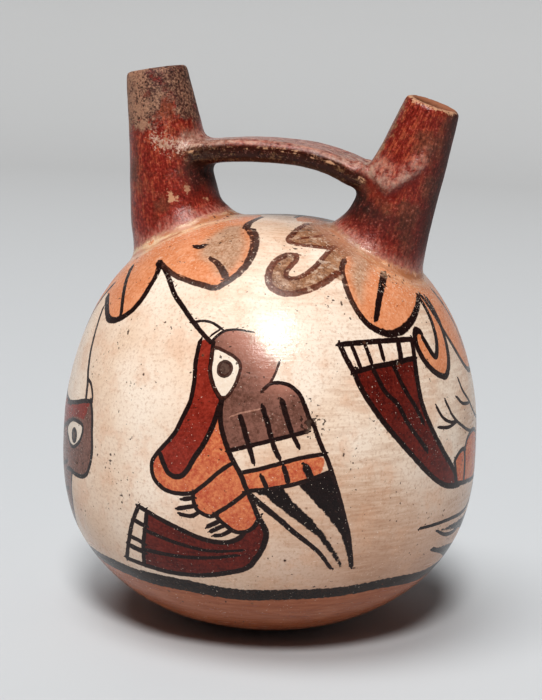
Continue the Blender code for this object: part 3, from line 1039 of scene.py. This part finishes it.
def paint(points, paintable):
    """What the paint leaves on each point: distances to every slip's edge and to every brush line. The back
    has the front's figures, half a turn on."""
    figures = upright_bird() + left_flower() + right_flower() + side_bird()
    left = {}
    for kind, paint_name, *_ in figures:
        if kind == "area":
            left[f"{paint_name}_patch"] = np.full(len(points), FAR_FROM_PAINT)
    for ink, (sheets, *_) in INKS.items():
        for sheet in range(sheets):
            left[f"{ink}_side_{sheet}"] = np.full(len(points), NO_SIDE)
            left[f"{ink}_reach_{sheet}"] = np.full(len(points), FAR_FROM_PAINT)
    for half_turn in (1.0, -1.0):
        turned = points[paintable] * (half_turn, half_turn, 1.0)
        charts = {chart: flat_on(chart, turned) for chart in CHARTS}
        for kind, paint_name, chart, outline, *brush in figures:
            flat = charts[chart]
            if kind == "area":
                known = left[f"{paint_name}_patch"]
                known[paintable] = np.minimum(known[paintable], patch_edge(flat, outline))
                continue
            side, reach = brush_line(flat, outline, *brush)
            # A line goes on the first sheet where no other line runs close beside it
            crowd = []
            for sheet in range(INKS[paint_name][0]):
                close = left[f"{paint_name}_reach_{sheet}"][paintable] < LINE_CLEARANCE
                crowd.append(np.sum(close & (reach < LINE_CLEARANCE)))
            sheet = int(np.argmin(crowd))
            sides, reaches = left[f"{paint_name}_side_{sheet}"], left[f"{paint_name}_reach_{sheet}"]
            nearer = reach < reaches[paintable]
            sides[paintable] = np.where(nearer, side, sides[paintable])
            reaches[paintable] = np.where(nearer, reach, reaches[paintable])
    return left


# The vessel's clay


def weighted(piece, name, weights):
    """A vertex group that holds these weights."""
    group = piece.vertex_groups.new(name=name)
    for point in np.flatnonzero(weights > 0.01):
        group.add([int(point)], float(weights[point]), "REPLACE")
    return name


def left_uneven(piece, name, width, finer, height, weights):
    """Moves the skin in and out by swellings of this width and height, where the weights say."""
    clouds = bpy.data.textures.new(name, "CLOUDS")
    clouds.noise_scale = width * MM
    clouds.noise_depth = finer
    group = weighted(piece, name, weights)
    settings = {"strength": height * MM, "mid_level": 0.5, "vertex_group": group}
    finished_with(piece, "DISPLACE", texture=clouds, texture_coords="LOCAL", **settings)


def past_smear_edge(along, across):
    """How far up past the smear's lower edge each place on the shorter spout lies, and its turn from the
    nearer of its front and back, in degrees."""
    turn = np.degrees(np.arctan2(across[:, 0], np.abs(across[:, 1])))
    return along - np.interp(turn, *np.array(SMEAR_EDGE).T), turn


def smeared(points):
    """Where the strap's clay was smeared over the shorter spout's front, down to a point, and ends in a low
    step. At the back it is thinner."""
    out, along, across = spout_gap(RIGHT_SPOUT, points)
    past, turn = past_smear_edge(along, across)
    step = between(0.0, 1.6, 2.5, 12.0, past) * between(-85.0, -50.0, 20.0, 44.0, turn) * (np.abs(out) < 5.0)
    return np.where(across[:, 1] < 0, step, 0.6 * step)


def built_vessel(finish):
    """The body, spouts and strap as one skin of clay, smoothed by hand at the joins and left a bit uneven."""
    rows, steps = BODY_FINENESS
    vessel = turned_on_wheel("bottle_in_painted_clay", body_curve(rows), steps)
    vessel.data.materials.append(finish)
    for spout in SPOUTS:
        luted(vessel, rolled("horn", spout, outside_of(spout), HORN_SIDES))
    luted(vessel, pulled_strap())
    finished_with(vessel, "REMESH", mode="VOXEL", voxel_size=SKIN_CELL * MM)
    finished_with(vessel, "SMOOTH", factor=0.5, iterations=3)
    points = points_of(vessel)
    from_body = body_gap(points)[0]
    gaps = [from_body, *(spout_gap(spout, points)[0] for spout in SPOUTS), strap_gap(points)[0]]
    # A point that is near two of the forms is at a join
    second = np.sort(np.abs(gaps), axis=0)[1]
    joins = weighted(vessel, "joins", fading(1.0, JOIN_REACH, second))
    finished_with(vessel, "SMOOTH", factor=0.5, iterations=JOIN_SMOOTHINGS, vertex_group=joins)
    smear = weighted(vessel, "smear", smeared(points))
    finished_with(vessel, "DISPLACE", strength=SMEAR_HEIGHT * MM, mid_level=0.0, vertex_group=smear)
    standing = smoothstep(1.0, 8.0, points[:, 2])
    scraped = standing * (0.35 + 0.65 * smoothstep(0.5, 4.0, from_body))
    left_uneven(vessel, "built_by_hand", *BUILT_UNEVENNESS, standing)
    left_uneven(vessel, "scraped", *SCRAPED_UNEVENNESS, scraped)
    return vessel


def hollow_inside(finish):
    """The room inside the body and both bores, to be cut out of the clay."""
    rows, steps = HOLLOW_FINENESS
    hollow = turned_on_wheel("hollow", inset(body_curve(rows), BODY_WALL), steps)
    hollow.data.materials.append(finish)
    for spout in SPOUTS:
        luted(hollow, rolled("bore", spout, bore_of(spout), BORE_SIDES))
    return hollow


# What each point of the skin knows about paint, burnishing and wear


def round_the_bottle(waves, turn):
    """The sum of (height, number of waves, start) waves round the bottle."""
    return sum(height * np.sin(count * turn + start) for height, count, start in waves)


def lower_band(down, turn):
    """The dark band, wider in front, and the bare clay below it."""
    rows = np.cumsum(np.r_[0, np.hypot(*np.diff(BODY_ROWS, axis=0).T)])
    top = np.interp(-BAND_TOP, -BODY_ROWS[:, 1], rows)
    half = (BAND_WIDTH + round_the_bottle(BAND_SWELLING, turn)) / 2
    below = down - top - round_the_bottle(BAND_WOBBLE, turn)
    return {"band_patch": np.abs(below - half) - half, "bare_patch": half - below}


def rubbed_by_pebble(points, gap, down, spouts, over, above):
    """Each point's place across and along the pebble's strokes, its distance from the spouts' feet, and its
    distance from a rim."""
    x, y, _ = points.T
    strokes = np.column_stack((x * BURNISH_DRAW, y * BURNISH_DRAW, down))
    foot = np.full(len(points), FAR_FROM_FOOT)
    rim = np.full(len(points), FAR_FROM_RIM)
    for spout, out, along, across in spouts:
        on_it = (np.abs(out) < np.minimum(over + 1.5, 5.0)) & (along > -1.0)
        rim = np.where(on_it, spout.length - along, rim)
        drawn = np.column_stack((across, along * BURNISH_DRAW))
        strokes = np.where((on_it & (gap > 2.0))[:, None], drawn, strokes)
        # Round the foot the strokes follow the join
        about = across / np.maximum(np.hypot(*across.T), 1e-6)[:, None] * spout.base_radius * BURNISH_DRAW
        at_foot = (gap <= 2.0) & (out < FOOT_WASH_REACH + 2)
        strokes = np.where(at_foot[:, None], np.column_stack((about, out)), strokes)
        foot = np.where(gap < 3.5, np.minimum(foot, out), foot)
    on_strap = (over < STRAP_SKIN)[:, None]
    return np.where(on_strap, np.column_stack((x * BURNISH_DRAW, y, above)), strokes), foot, rim


def tall_spout_wear(out, along, across):
    """The taller spout's crust, which comes off in a patch towards the front, its lowest crumbs, which run
    down to the strap's end, the chips in its slip and its paler side."""
    turn = turn_from_front(across)
    bald = np.exp(-(((turn - 30) / 14) ** 2) - ((along - 37.5) / 5.5) ** 2)
    crust = smoothstep(26.0, 37.0, along) * (1 - 0.75 * bald)
    low_edge = 29.5 - 0.11 * np.clip(turn, 0, 60)
    crumbs = np.exp(-(((along - low_edge) / 4.2) ** 2)) * between(-25, 5, 66, 90, turn)
    chips = np.full(len(turn), FAR_FROM_CHIP)
    for chip_turn, chip_along, size in CHIPS:
        aside = (turn - chip_turn) * math.radians(1) * taper(LEFT_SPOUT, chip_along)
        chips = np.minimum(chips, np.hypot(aside, along - chip_along) - size)
    return {
        "crust": np.where(out < 4.0, crust, 0.0),
        "crumbs": np.where(out < 9.0, crumbs, 0.0),
        "chips": np.where(out < 4.0, chips, FAR_FROM_CHIP),
        "pale_side": np.where(out < 4.0, fading(-25.0, 20.0, turn), 0.0),
    }


def painted_shade_and_soot(x, gap, tall, short, over, above):
    """Painted shade with soot under the strap's ends. Inside the loop, and on the shorter spout's outer side,
    the painted shade and soot make the slip almost black."""
    tall_turn, short_turn = turn_from_front(tall[2]), turn_from_front(short[2])
    near_spout = np.minimum(tall[0], short[0])
    sooty = fading(3.0, 14.0, over) * smoothstep(0.5, 4.0, -above) * fading(2.0, 7.0, near_spout)
    sooty *= np.where(x < 0, smoothstep(22, 52, np.abs(tall_turn)), 1.0)
    loop = between(62, 92, 120, 170, tall_turn) * fading(17.0, 21.0, tall[1]) * (tall[0] < 3.0)
    outer = between(30, 78, 135, 172, short_turn) * smoothstep(-1.0, 8.0, short[1]) * (short[0] < 3.0)
    sooty = np.maximum.reduce((sooty, 0.55 * loop, 0.85 * outer))
    return {"sooty": np.where(gap > 3, 0.95 * sooty, 0.0)}


def short_spout_wear(gap, out, along, across):
    """The shorter spout's tarnish, and painted shade just below the step where the strap's clay stopped."""
    turn = turn_from_front(across)
    tarnished = between(-150, -120, -62, -22, turn) * smoothstep(12.0, 22.0, along)
    past, smear_turn = past_smear_edge(along, across)
    edge = between(-5.0, -0.6, -0.4, 0.6, past) * between(-60.0, -35.0, 30.0, 48.0, smear_turn)
    return {
        "tarnished": np.where(out < 3.0, tarnished, 0.0),
        "smear_edge": np.where((np.abs(out) < 4.0) & (gap > 4), 0.8 * edge, 0.0),
    }


def strap_wear(points, gap, near_spout, over, above, rim):
    """The strap's rubbed top edges, pale partly from wear and partly as a painted highlight, with the shorter
    spout's rim, its dark sides and its dusty top.
    """
    x, y, _ = points.T
    on_strap = (over < STRAP_SKIN) & (gap > 4)
    edge = np.hypot(np.abs(y) - STRAP_WIDTH / 2 + 0.6, above - STRAP_THICKNESS / 2 + 2.6)
    # Pale flecks along the strap's top edges: partly rubbed clay, partly a painted highlight
    highlit_ridge = np.where(on_strap, 0.8 * fading(0.3, 1.9, edge), 0.0)
    side = smoothstep(6.5, 9.5, np.abs(y)) * fading(1.2, 2.8, above) * fading(-3.0, 1.0, -near_spout)
    dusty = smoothstep(1.5, 3.0, above) * fading(1.0, 6.0, over)
    return {
        "rubbed": np.maximum(highlit_ridge, np.where(x > 0, 1.15 * fading(0.0, 2.4, rim), 0.0)),
        "strap_side": np.where(on_strap, 0.93 * side, 0.0),
        "dusty": np.maximum(0.7 * np.where(gap > 6, dusty, 0.0), 0.68 * smeared(points)),
    }


def bird_wear(points):
    """The back of the upright bird's head is rubbed away and paled as a painted highlight towards the upper
    right, and its wing is scuffed. The paint has flaked more there and up on the shoulder."""
    right, up = flat_on("bird", points).T
    worn_highlit = smoothstep(-14.0, 2.5, (7.0 * (right - 4.5) + 8.0 * (up - 40.5)) / math.hypot(7.0, 8.0))
    near_head = fading(12.0, 18.0, np.hypot(right - 9.0, up - 37.0))
    scuff = fading(0.3, 1.0, np.hypot((right - 24.5) / 6.5, (up - 15.0) / 5.0))
    worn = 0.2 + 0.5 * smoothstep(96.0, 120.0, points[:, 2]) + 0.8 * scuff
    return {"faded": worn_highlit * near_head, "scuffed": scuff, "worn": np.clip(worn, 0, 1)}


def marked(vessel):
    """Keeps everything that the finish needs to know about each point on the vessel."""
    points = points_of(vessel)
    gap, down = body_gap(points)
    x, y, z = points.T
    turn = np.arctan2(x, -y)
    tall, short = (spout_gap(spout, points) for spout in SPOUTS)
    over, above = strap_gap(points)
    spouts = [(LEFT_SPOUT, *tall), (RIGHT_SPOUT, *short)]
    strokes, foot, rim = rubbed_by_pebble(points, gap, down, spouts, over, above)
    marks = {
        # Painted shade and stains: the side towards the shorter spout is darker, with more brown strokes
        "stained": 0.2 + 0.8 * smoothstep(-0.25, 0.85, np.sin(turn)),
        "stand_out": gap,
        "burnish": strokes,
        "foot": foot,
        **paint(points, (gap > PAINTED_SKIN[0]) & (gap < PAINTED_SKIN[1]) & (z > PAINTED_FROM)),
        **lower_band(down, turn),
        **tall_spout_wear(*tall),
        **painted_shade_and_soot(x, gap, tall, short, over, above),
        **short_spout_wear(gap, *short),
        **strap_wear(points, gap, np.minimum(tall[0], short[0]), over, above, rim),
        **bird_wear(points),
    }
    for name, values in marks.items():
        vector = values.ndim == 2
        kept = vessel.data.attributes.new(name, "FLOAT_VECTOR" if vector else "FLOAT", "POINT")
        kept.data.foreach_set("vector" if vector else "value", values.astype(np.float32).ravel())


# Finishes. A MapRange has its value, where that starts and ends, and then the share at each of the two,
# unless they are 0 and 1. These are settings that several nodes share. A mix of colours gives its third
# output.

TIMES = {"operation": "MULTIPLY"}
TIMES_PLUS = {"operation": "MULTIPLY_ADD"}
HIGHER = {"operation": "MAXIMUM"}
SOFT = {"interpolation_type": "SMOOTHSTEP"}
COLOUR = {"data_type": "RGBA"}
MIXED = 2


def linear(code):
    """An sRGB hex colour as linear red, green and blue, with an alpha of 1."""
    shares = [int(code[start : start + 2], 16) / 255 for start in (1, 3, 5)]
    return (*(share / 12.92 if share <= 0.04045 else ((share + 0.055) / 1.055) ** 2.4 for share in shares), 1)


def add_node(tree, kind, links=(), settings=None, out=0):
    """Adds a node with its settings and gives one of its outputs. Its inputs are links, values or hex
    colours, in a row for its first sockets, or by their names or numbers."""
    made = tree.nodes.new("ShaderNode" + kind)
    for name, value in (settings or {}).items():
        setattr(made, name, value)
    for socket, value in links.items() if isinstance(links, dict) else enumerate(links):
        if isinstance(value, bpy.types.NodeSocket):
            tree.links.new(value, made.inputs[socket])
        else:
            made.inputs[socket].default_value = linear(value) if isinstance(value, str) else value
    return made.outputs[out] if made.outputs else None


def begun_finish(name):
    """An empty material, what adds nodes to it, and where each point of the piece is."""
    material = bpy.data.materials.new(name)
    material.use_nodes = True
    material.node_tree.nodes.clear()
    add = partial(add_node, material.node_tree)
    return material, add, add("TexCoord", out="Object")


def summed(add, *parts):
    """The sum of (value, weight) pairs."""
    total = 0.0
    for value, weight in parts:
        total = add("Math", (value, weight, total), TIMES_PLUS)
    return total


def layered(add, below, *layers):
    """Lays colours over what is below them. Each shows as far as all the shares after it together allow."""
    for colour, share, *others in layers:
        for other in others:
            share = add("Math", (share, other), TIMES)
        below = add("Mix", {0: share, 6: below, 7: colour}, COLOUR, MIXED)
    return below


def grains_and_marks(add, place):
    """Every grain and every kept mark by its name, as it is at each point of the skin."""
    at = {}
    strokes = add("Attribute", (), {"attribute_name": "burnish"}, "Vector")
    for where, unit, grains in ((place, MM, GRAINS), (strokes, 1.0, STROKE_GRAINS)):
        for name, (size, detail, roughness) in grains.items():
            sized = {"Scale": 1 / (size * unit), "Detail": detail, "Roughness": roughness}
            at[name] = add("TexNoise", {"Vector": where, **sized})
    for mark in MARKS:
        at[mark] = add("Attribute", (), {"attribute_name": mark}, "Fac")
    at = SimpleNamespace(place=place, **at)
    # The ragged edges that a soft brush leaves, a slip's thin and thick places, and what has flaked
    at.ragged = add("Math", (at.fray, 1.3, -0.65), TIMES_PLUS)
    at.mottle = add("MapRange", (summed(add, (at.blotches, 0.4), (at.grain, 0.6)), 0.4, 0.6))
    at.streaked = add("MapRange", (at.streaks, 0.38, 0.66))
    at.flaked = add("Math", (at.worn, 0.24, at.flaky), TIMES_PLUS)
    at.line_left = add("MapRange", (at.flaked, 0.72, 0.8, 1.0, 0.3), SOFT)
    at.x = add("SeparateXYZ", (place,), out="X")
    at.z = add("SeparateXYZ", (place,), out="Z")
    return at


def cream_ground(add, at):
    """Cream slip over the whole body, darker towards the foot, partly as thinner slip where the clay warms it
    and partly as painted shade, with smoky strokes, both most on the side towards the shorter spout, rosy
    blotches where hands held it, and a light brown grit of about a millimetre."""
    smoked = add("Math", (at.streaks, at.clouds), TIMES)
    return layered(
        add,
        CREAM,
        (WARM_CREAM, add("MapRange", (at.clouds, 0.35, 0.68))),
        # Darker towards the foot and on the side towards the shorter spout: thinner slip and painted shade
        (SHADED_THIN_CREAM, add("MapRange", (at.z, 24 * MM, 76 * MM, 0.95, 0.0), SOFT), at.stained),
        (STAINED_AND_SHADED_CREAM, add("MapRange", (smoked, 0.2, 0.46, 0.0, 0.75)), at.stained),
        (ROSY_CREAM, add("MapRange", (at.rosy, 0.48, 0.66, 0.0, 0.42), SOFT)),
        (STAINED_AND_SHADED_CREAM, add("MapRange", (at.grain, 0.5, 0.7, 0.0, 0.42))),
    )


def painted(add, at, body):
    """The slips inside their outlines, and the brush lines over them, each flaked in its own way. The slips
    that aren't named here all flake alike, and the bare clay and the cream not at all."""
    slip_left = add("MapRange", (at.flaked, 0.7, 0.98, 1.0, 0.4), SOFT)
    # The head's brown thins towards the upper right: partly rubbed off, partly a painted highlight
    head_left = summed(add, (at.flaky, 0.5), (at.faded, 1.0))
    head_left = add("MapRange", (head_left, 0.98, 1.25, 1.0, 0.05), SOFT)
    tan_left = add("MapRange", (at.flaked, 0.62, 0.82, 1.0, 0.5), SOFT)
    left = {"bare": (), "cream": (), "band": (at.line_left,), "ink": (at.line_left,)}
    left |= {"tan": (tan_left,), "brown": (slip_left, head_left)}
    for slip, thin, thick, fade in SLIP_COLOURS:
        edge = add("Attribute", (), {"attribute_name": f"{slip}_patch"}, "Fac")
        edge = add("Math", (edge, at.ragged), {"operation": "ADD"})
        share = add("MapRange", (edge, -fade, 0.15, 1.0, 0.0), SOFT)
        laid = layered(add, thin, (thick, at.streaked if slip == "bare" else at.mottle))
        body = layered(add, body, (laid, share, *left.get(slip, (slip_left,))))
        if slip == "brown":
            # Paler brown there, partly worn and partly a painted highlight
            body = layered(add, body, (WORN_AND_HIGHLIT_BROWN, at.faded, share, slip_left, head_left))
    for ink, (sheets, thin, thick, hold) in INKS.items():
        drawn = 0.0
        for sheet in range(sheets):
            side = add("Attribute", (), {"attribute_name": f"{ink}_side_{sheet}"}, "Fac")
            reach = add("Attribute", (), {"attribute_name": f"{ink}_reach_{sheet}"}, "Fac")
            off = add("Math", (side,), {"operation": "ABSOLUTE"})
            off = add("Math", (at.ragged, 0.4, off), TIMES_PLUS)
            inked = add("MapRange", (off, 0.82, 1.12, 1.0, 0.0), SOFT)
            near = add("Math", (reach, 0.6), {"operation": "LESS_THAN"})
            drawn = add("Math", (drawn, add("Math", (inked, near), TIMES)), HIGHER)
        laid = layered(add, thin, (thick, at.mottle))
        body = layered(add, body, (laid, drawn, at.line_left, hold))
    return body


def washed_round_spouts(add, at, body):
    """Pale dust caught in the paint, in specks of about half a millimetre, and thin washes of slip and
    rubbed-off red, brushed round the feet of the spouts and browner at the shorter one's."""
    by_foot = add("MapRange", (at.foot, 4.0, 17.0, 0.12, 0.0))
    dust = summed(add, (at.blotches, 0.3), (at.dust, 1.0), (by_foot, 1.0))
    body = layered(add, body, (CREAM, add("MapRange", (dust, 0.86, 0.94, 0.0, 0.6), SOFT)))
    washed = summed(add, (at.blotches, 5.0), (at.foot, 1.0))
    washed = add("MapRange", (washed, 4.0, FOOT_WASH_REACH, 0.9, 0.0), SOFT)
    paler = add("MapRange", (at.x, 0.0, 20 * MM, 0.85, 0.35))
    for (wash, low, high), held in zip(FOOT_WASHES, (paler, paler, at.streaked)):
        body = layered(add, body, (wash, add("MapRange", (at.strokes, low, high), SOFT), washed, held))
    near_foot = add("MapRange", (at.foot, 2.0, 9.5, 1.0, 0.0), SOFT)
    by_short_spout = add("MapRange", (at.x, 0.0, 20 * MM))
    before_side = add("MapRange", (at.x, 27 * MM, 38 * MM, 1.0, 0.1))
    brushed = add("MapRange", (at.strokes, 0.38, 0.52, 0.9, 0.5))
    return layered(add, body, (SHORT_FOOT_STAIN, near_foot, by_short_spout, before_side, brushed))


def red_slip(add, at):
    """Red slip on the spouts and strap, streaked along them, dulled and tarnished in places, and paler at
    their feet, partly where it thins out and partly as a painted sheen."""
    hair = summed(add, (at.streaks, 0.3), (at.fine, 0.4), (at.flaky, 0.3))
    hair = add("MapRange", (hair, 0.4, 0.6))
    warm = add("Math", (at.clouds, hair), TIMES)
    tarnished = add("Math", (at.tarnished, 0.24, at.flaky), TIMES_PLUS)
    red = layered(
        add,
        RED_SLIP_DARK,
        (RED_SLIP, hair),
        (RED_SLIP_BRIGHT, add("MapRange", (warm, 0.24, 0.5, 0.0, 0.75), SOFT)),
        (TARNISH, add("MapRange", (at.dulled, 0.5, 0.64, 0.0, 0.6), SOFT)),
        (OLIVE_STAIN, add("MapRange", (tarnished, 0.62, 0.82, 0.0, 0.8), SOFT)),
    )
    speckled = add("MapRange", (at.grain, 0.3, 0.7, 0.5, 1.5))
    red = add("Mix", {0: 1.0, 6: red, 7: speckled}, {**COLOUR, "blend_type": "MULTIPLY"}, MIXED)
    # Paler red near the body: thin slip, and partly a painted sheen
    thin_sheen = summed(add, (at.blotches, 6.0), (at.stand_out, 1.0))
    thin_sheen = add("MapRange", (thin_sheen, 4.0, 9.3, 0.85, 0.0), SOFT)
    return layered(add, red, (THIN_RED_SHEEN, thin_sheen, add("MapRange", (at.streaks, 0.4, 0.62, 0.2, 1.0))))


def worn_red(add, at, red, caked):
    """The speckled crust with its crumbs on the taller spout, and the chips there. Then painted shade with
    soot, the strap's dark side with tan clay in strokes through it, dust, dark grains, and edges rubbed
    through in flecks, which along the strap's top edges are also a painted highlight."""
    crust = summed(add, (at.crumbly, 1.0), (at.flaky, 0.5), (at.blotches, 0.35), (at.pale_side, 0.16))
    crust = layered(add, CRUST_DARK, (CRUST_PALE, add("MapRange", (crust, 0.86, 1.12))))
    crumb = layered(add, STRAP_DUST, (CRUST_PALE, add("MapRange", (at.fray, 0.4, 0.6))))
    crumbs = summed(add, (at.flaky, 0.35), (at.crumbs, 0.2), (at.crumbly, 0.65))
    chips = summed(add, (at.flaky, 7.0), (at.chips, 1.0))
    patchy = add("MapRange", (at.flaky, 0.3, 0.55, 0.55, 1.0))
    through = summed(add, (at.flaky, 0.5), (at.streaks, 0.5))
    dots = add("TexVoronoi", {"Vector": at.place, "Scale": 1 / (DARK_GRAIN_SPACING * MM)})
    dots = add("Math", (add("Math", (at.crust, at.strap_side), HIGHER), -0.24, dots), TIMES_PLUS)
    rubbed = add("Math", (at.rubbed, 0.22, through), TIMES_PLUS)
    return layered(
        add,
        red,
        (crust, caked),
        (crumb, add("MapRange", (crumbs, 0.65, 0.71, 0.0, 0.85), SOFT)),
        (RUBBED_AND_HIGHLIT_CLAY, add("MapRange", (chips, 2.3, 2.9, 0.85, 0.0), SOFT)),
        # Painted shade with soot under the strap's ends, in the loop and on the shorter spout's outer side
        (SHADE_AND_SOOT, at.sooty, patchy),
        # Painted shade just below the smear's step on the shorter spout
        (RED_SLIP_DARK, at.smear_edge, patchy),
        (STRAP_SHADE, at.strap_side),
        (OLIVE_STAIN, add("MapRange", (through, 0.51, 0.6, 0.0, 0.55), SOFT), at.strap_side),
        (STRAP_DUST, at.dusty, add("MapRange", (at.flaky, 0.35, 0.65))),
        (SHADE_AND_SOOT, add("MapRange", (dots, -0.04, 0.06, 0.8, 0.0), SOFT)),
        # Rubbed-through flecks, which along the strap's top edges are also a painted highlight
        (RUBBED_AND_HIGHLIT_CLAY, add("MapRange", (rubbed, 0.67, 0.75, 0.0, 0.85), SOFT)),
    )


def pitted(add, at):
    """How deep each point is in a pit where grit or lime fell out, each of its own size up to a millimetre,
    its brown halo, and the pepper of dark specks in crowds."""
    pits = add("TexVoronoi", {"Vector": at.place, "Scale": 1 / (PIT_SPACING * MM)})
    size = add("Math", (pits.node.outputs["Color"], 2.5), {"operation": "POWER"})
    size = add("Math", (size, 0.11, -0.01), TIMES_PLUS)
    edge = add("Math", (at.fray, 0.16, pits), TIMES_PLUS)
    edge = add("Math", (edge, size), {"operation": "SUBTRACT"})
    pit = add("MapRange", (edge, 0.04, 0.07, 1.0, 0.0), SOFT)
    halo = add("MapRange", (edge, 0.05, 0.15, 0.45, 0.0), SOFT)
    pepper = summed(add, (at.pepper, 1.0), (at.crowd, 0.5), (at.scuffed, 0.24))
    return pit, halo, add("MapRange", (pepper, 0.99, 1.06, 0.0, 0.85), SOFT)


def painted_clay_finish():
    """Fine red earthenware under clay slips, rubbed with a smooth pebble before an open firing. The slips are
    matt colours with a waxy, streaky shine from the pebble. Small pits show where grit and lime fell out, and
    the later colours have flaked and rubbed thin on the shoulder."""
    material, add, place = begun_finish("burnished_slips_on_red_earthenware")
    at = grains_and_marks(add, place)
    body = washed_round_spouts(add, at, painted(add, at, cream_ground(add, at)))
    pit, halo, pepper = pitted(add, at)
    caked = summed(add, (at.flaky, 1.0), (at.crust, 1.0), (at.blotches, 1.2))
    caked = add("MapRange", (caked, 1.66, 2.02, 0.0, 0.88), SOFT)
    on_red = summed(add, (at.ragged, 2.0), (at.stand_out, 1.0))
    on_red = add("MapRange", (on_red, 0.9, 2.6), SOFT)
    colour = layered(
        add,
        body,
        (PIT_HALO, halo),
        (PIT, pepper),
        (worn_red(add, at, red_slip(add, at), caked), on_red),
        (PIT, pit),
        # Light scratches and dust in the red's grain
        (THIN_RED_SHEEN, add("MapRange", (at.grain, 0.6, 0.7, 0.0, 0.3)), on_red),
    )
    # The pebble's shine, in streaks, and the dull crust, painted shade with soot, and pits
    shine = add("MapRange", (at.streaks, 0.3, 0.7, *SHINE))
    for share, dull in ((caked, CRUST_DULLNESS), (at.sooty, SHADE_AND_SOOT_DULLNESS)):
        shine = add("Mix", {0: share, 2: shine, 3: dull})
    shine = add("Math", (shine, add("Math", (pit, PIT_DULLNESS), TIMES)), HIGHER)
    # Relief in millimetres: grain, strokes, pits, the lumpy red slip and the crust
    lumpy = add("Math", (at.flaky, on_red), TIMES)
    crusty = add("Math", (caked, at.flaky), TIMES)
    relief = summed(add, (at.grain, 0.07), (at.streaks, 0.06), (pit, -0.35), (lumpy, 0.22), (crusty, 0.25))
    relief = add("Bump", {"Height": relief, "Distance": MM, "Strength": 1.0})
    skin = {"Base Color": colour, "Roughness": shine, "Normal": relief, "IOR": 1.45}
    add("OutputMaterial", {"Surface": add("BsdfPrincipled", {**skin, "Specular IOR Level": 0.39})})
    return material


def raw_clay_finish():
    """The same clay inside, never slipped or rubbed: dull brown, smoked dark by the firing, with gritty
    grain."""
    material, add, place = begun_finish("raw_red_earthenware")
    grit = add("TexNoise", {"Vector": place, "Scale": 1 / (1.2 * MM), "Detail": 5.0})
    smoke_marks = add("TexNoise", {"Vector": place, "Scale": 1 / (14 * MM), "Detail": 3.0})
    relief = add("Bump", {"Height": add("Math", (grit, 0.3), TIMES), "Distance": MM})
    colour = layered(add, SMOKED_CLAY, (RAW_CLAY, smoke_marks))
    skin = {"Base Color": colour, "Roughness": RAW_CLAY_DULLNESS, "Normal": relief, "IOR": 1.5}
    add("OutputMaterial", {"Surface": add("BsdfPrincipled", skin)})
    return material


def paper_finish():
    """Matt pale paper, uncoated, painted a little darker far from the bottle as painted shade."""
    material, add, place = begun_finish("matt_pale_paper")
    far = add("VectorMath", (place,), {"operation": "LENGTH"}, "Value")
    grey = layered(add, PAPER, (FAR_PAPER, add("MapRange", (far, *PAPER_DARKENS))))
    paper = add("BsdfPrincipled", {"Base Color": grey, "Roughness": PAPER_DULLNESS})
    add("OutputMaterial", {"Surface": paper})
    return material


# Putting it together

vessel = built_vessel(painted_clay_finish())
luted(vessel, hollow_inside(raw_clay_finish()), "DIFFERENCE")
marked(vessel)
bpy.ops.object.select_all(action="DESELECT")
vessel.select_set(True)
bpy.context.view_layer.objects.active = vessel
bpy.ops.object.shade_smooth_by_angle(angle=math.radians(SHARP_FROM))
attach(vessel, "root")
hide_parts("vessel")

# The studio: a pale sheet that curves up far behind the bottle on every side, and three soft lights

stage = turned_on_wheel("pale_studio_sheet", SHEET_CURVE, SHEET_STEPS)
stage.data.materials.append(paper_finish())
bpy.ops.object.shade_smooth()


def towards(bearing, elevation):
    """The direction from the bottle to what stands at this bearing and elevation, in degrees."""
    bearing, elevation = math.radians(bearing), math.radians(elevation)
    level = math.cos(elevation)
    return Vector((level * math.sin(bearing), -level * math.cos(bearing), math.sin(elevation)))


for name, (bearing, elevation, spread, power, colour) in LIGHTS.items():
    lamp = bpy.data.lights.new(name, "SUN")
    lamp.angle = math.radians(spread)
    lamp.energy = power
    lamp.color = linear(colour)[:3]
    placed = bpy.data.objects.new(name, lamp)
    placed.location = towards(bearing, elevation) * (LIGHT_DISTANCE * MM)
    placed.rotation_euler = towards(bearing, elevation).to_track_quat("Z", "Y").to_euler()
    bpy.context.collection.objects.link(placed)

world = bpy.data.worlds.new("dim_studio_room")
world.use_nodes = True
world.node_tree.nodes["Background"].inputs["Color"].default_value = linear(ROOM_COLOUR)
world.node_tree.nodes["Background"].inputs["Strength"].default_value = ROOM_LIGHT
bpy.context.scene.world = world
bpy.context.scene.view_settings.view_transform = "Standard"
bpy.context.scene.view_settings.look = "Medium High Contrast"

# The camera, at the photograph's viewing angle and tipped a little to the left

right = towards(CAMERA_BEARING + 90, 0)
way = towards(CAMERA_BEARING, CAMERA_ELEVATION)
lens = bpy.data.cameras.new("studio_camera")
lens.lens = CAMERA_LENS
lens.clip_start = 0.05
lens.clip_end = 20.0
camera = bpy.data.objects.new("studio_camera", lens)
camera.location = (right * CAMERA_AIM[0] + Vector((0, 0, CAMERA_AIM[1])) + way * CAMERA_DISTANCE) * MM
rolled_over = Quaternion((0, 0, 1), math.radians(CAMERA_ROLL))
camera.rotation_euler = (way.to_track_quat("Z", "Y") @ rolled_over).to_euler()
bpy.context.collection.objects.link(camera)
bpy.context.scene.camera = camera
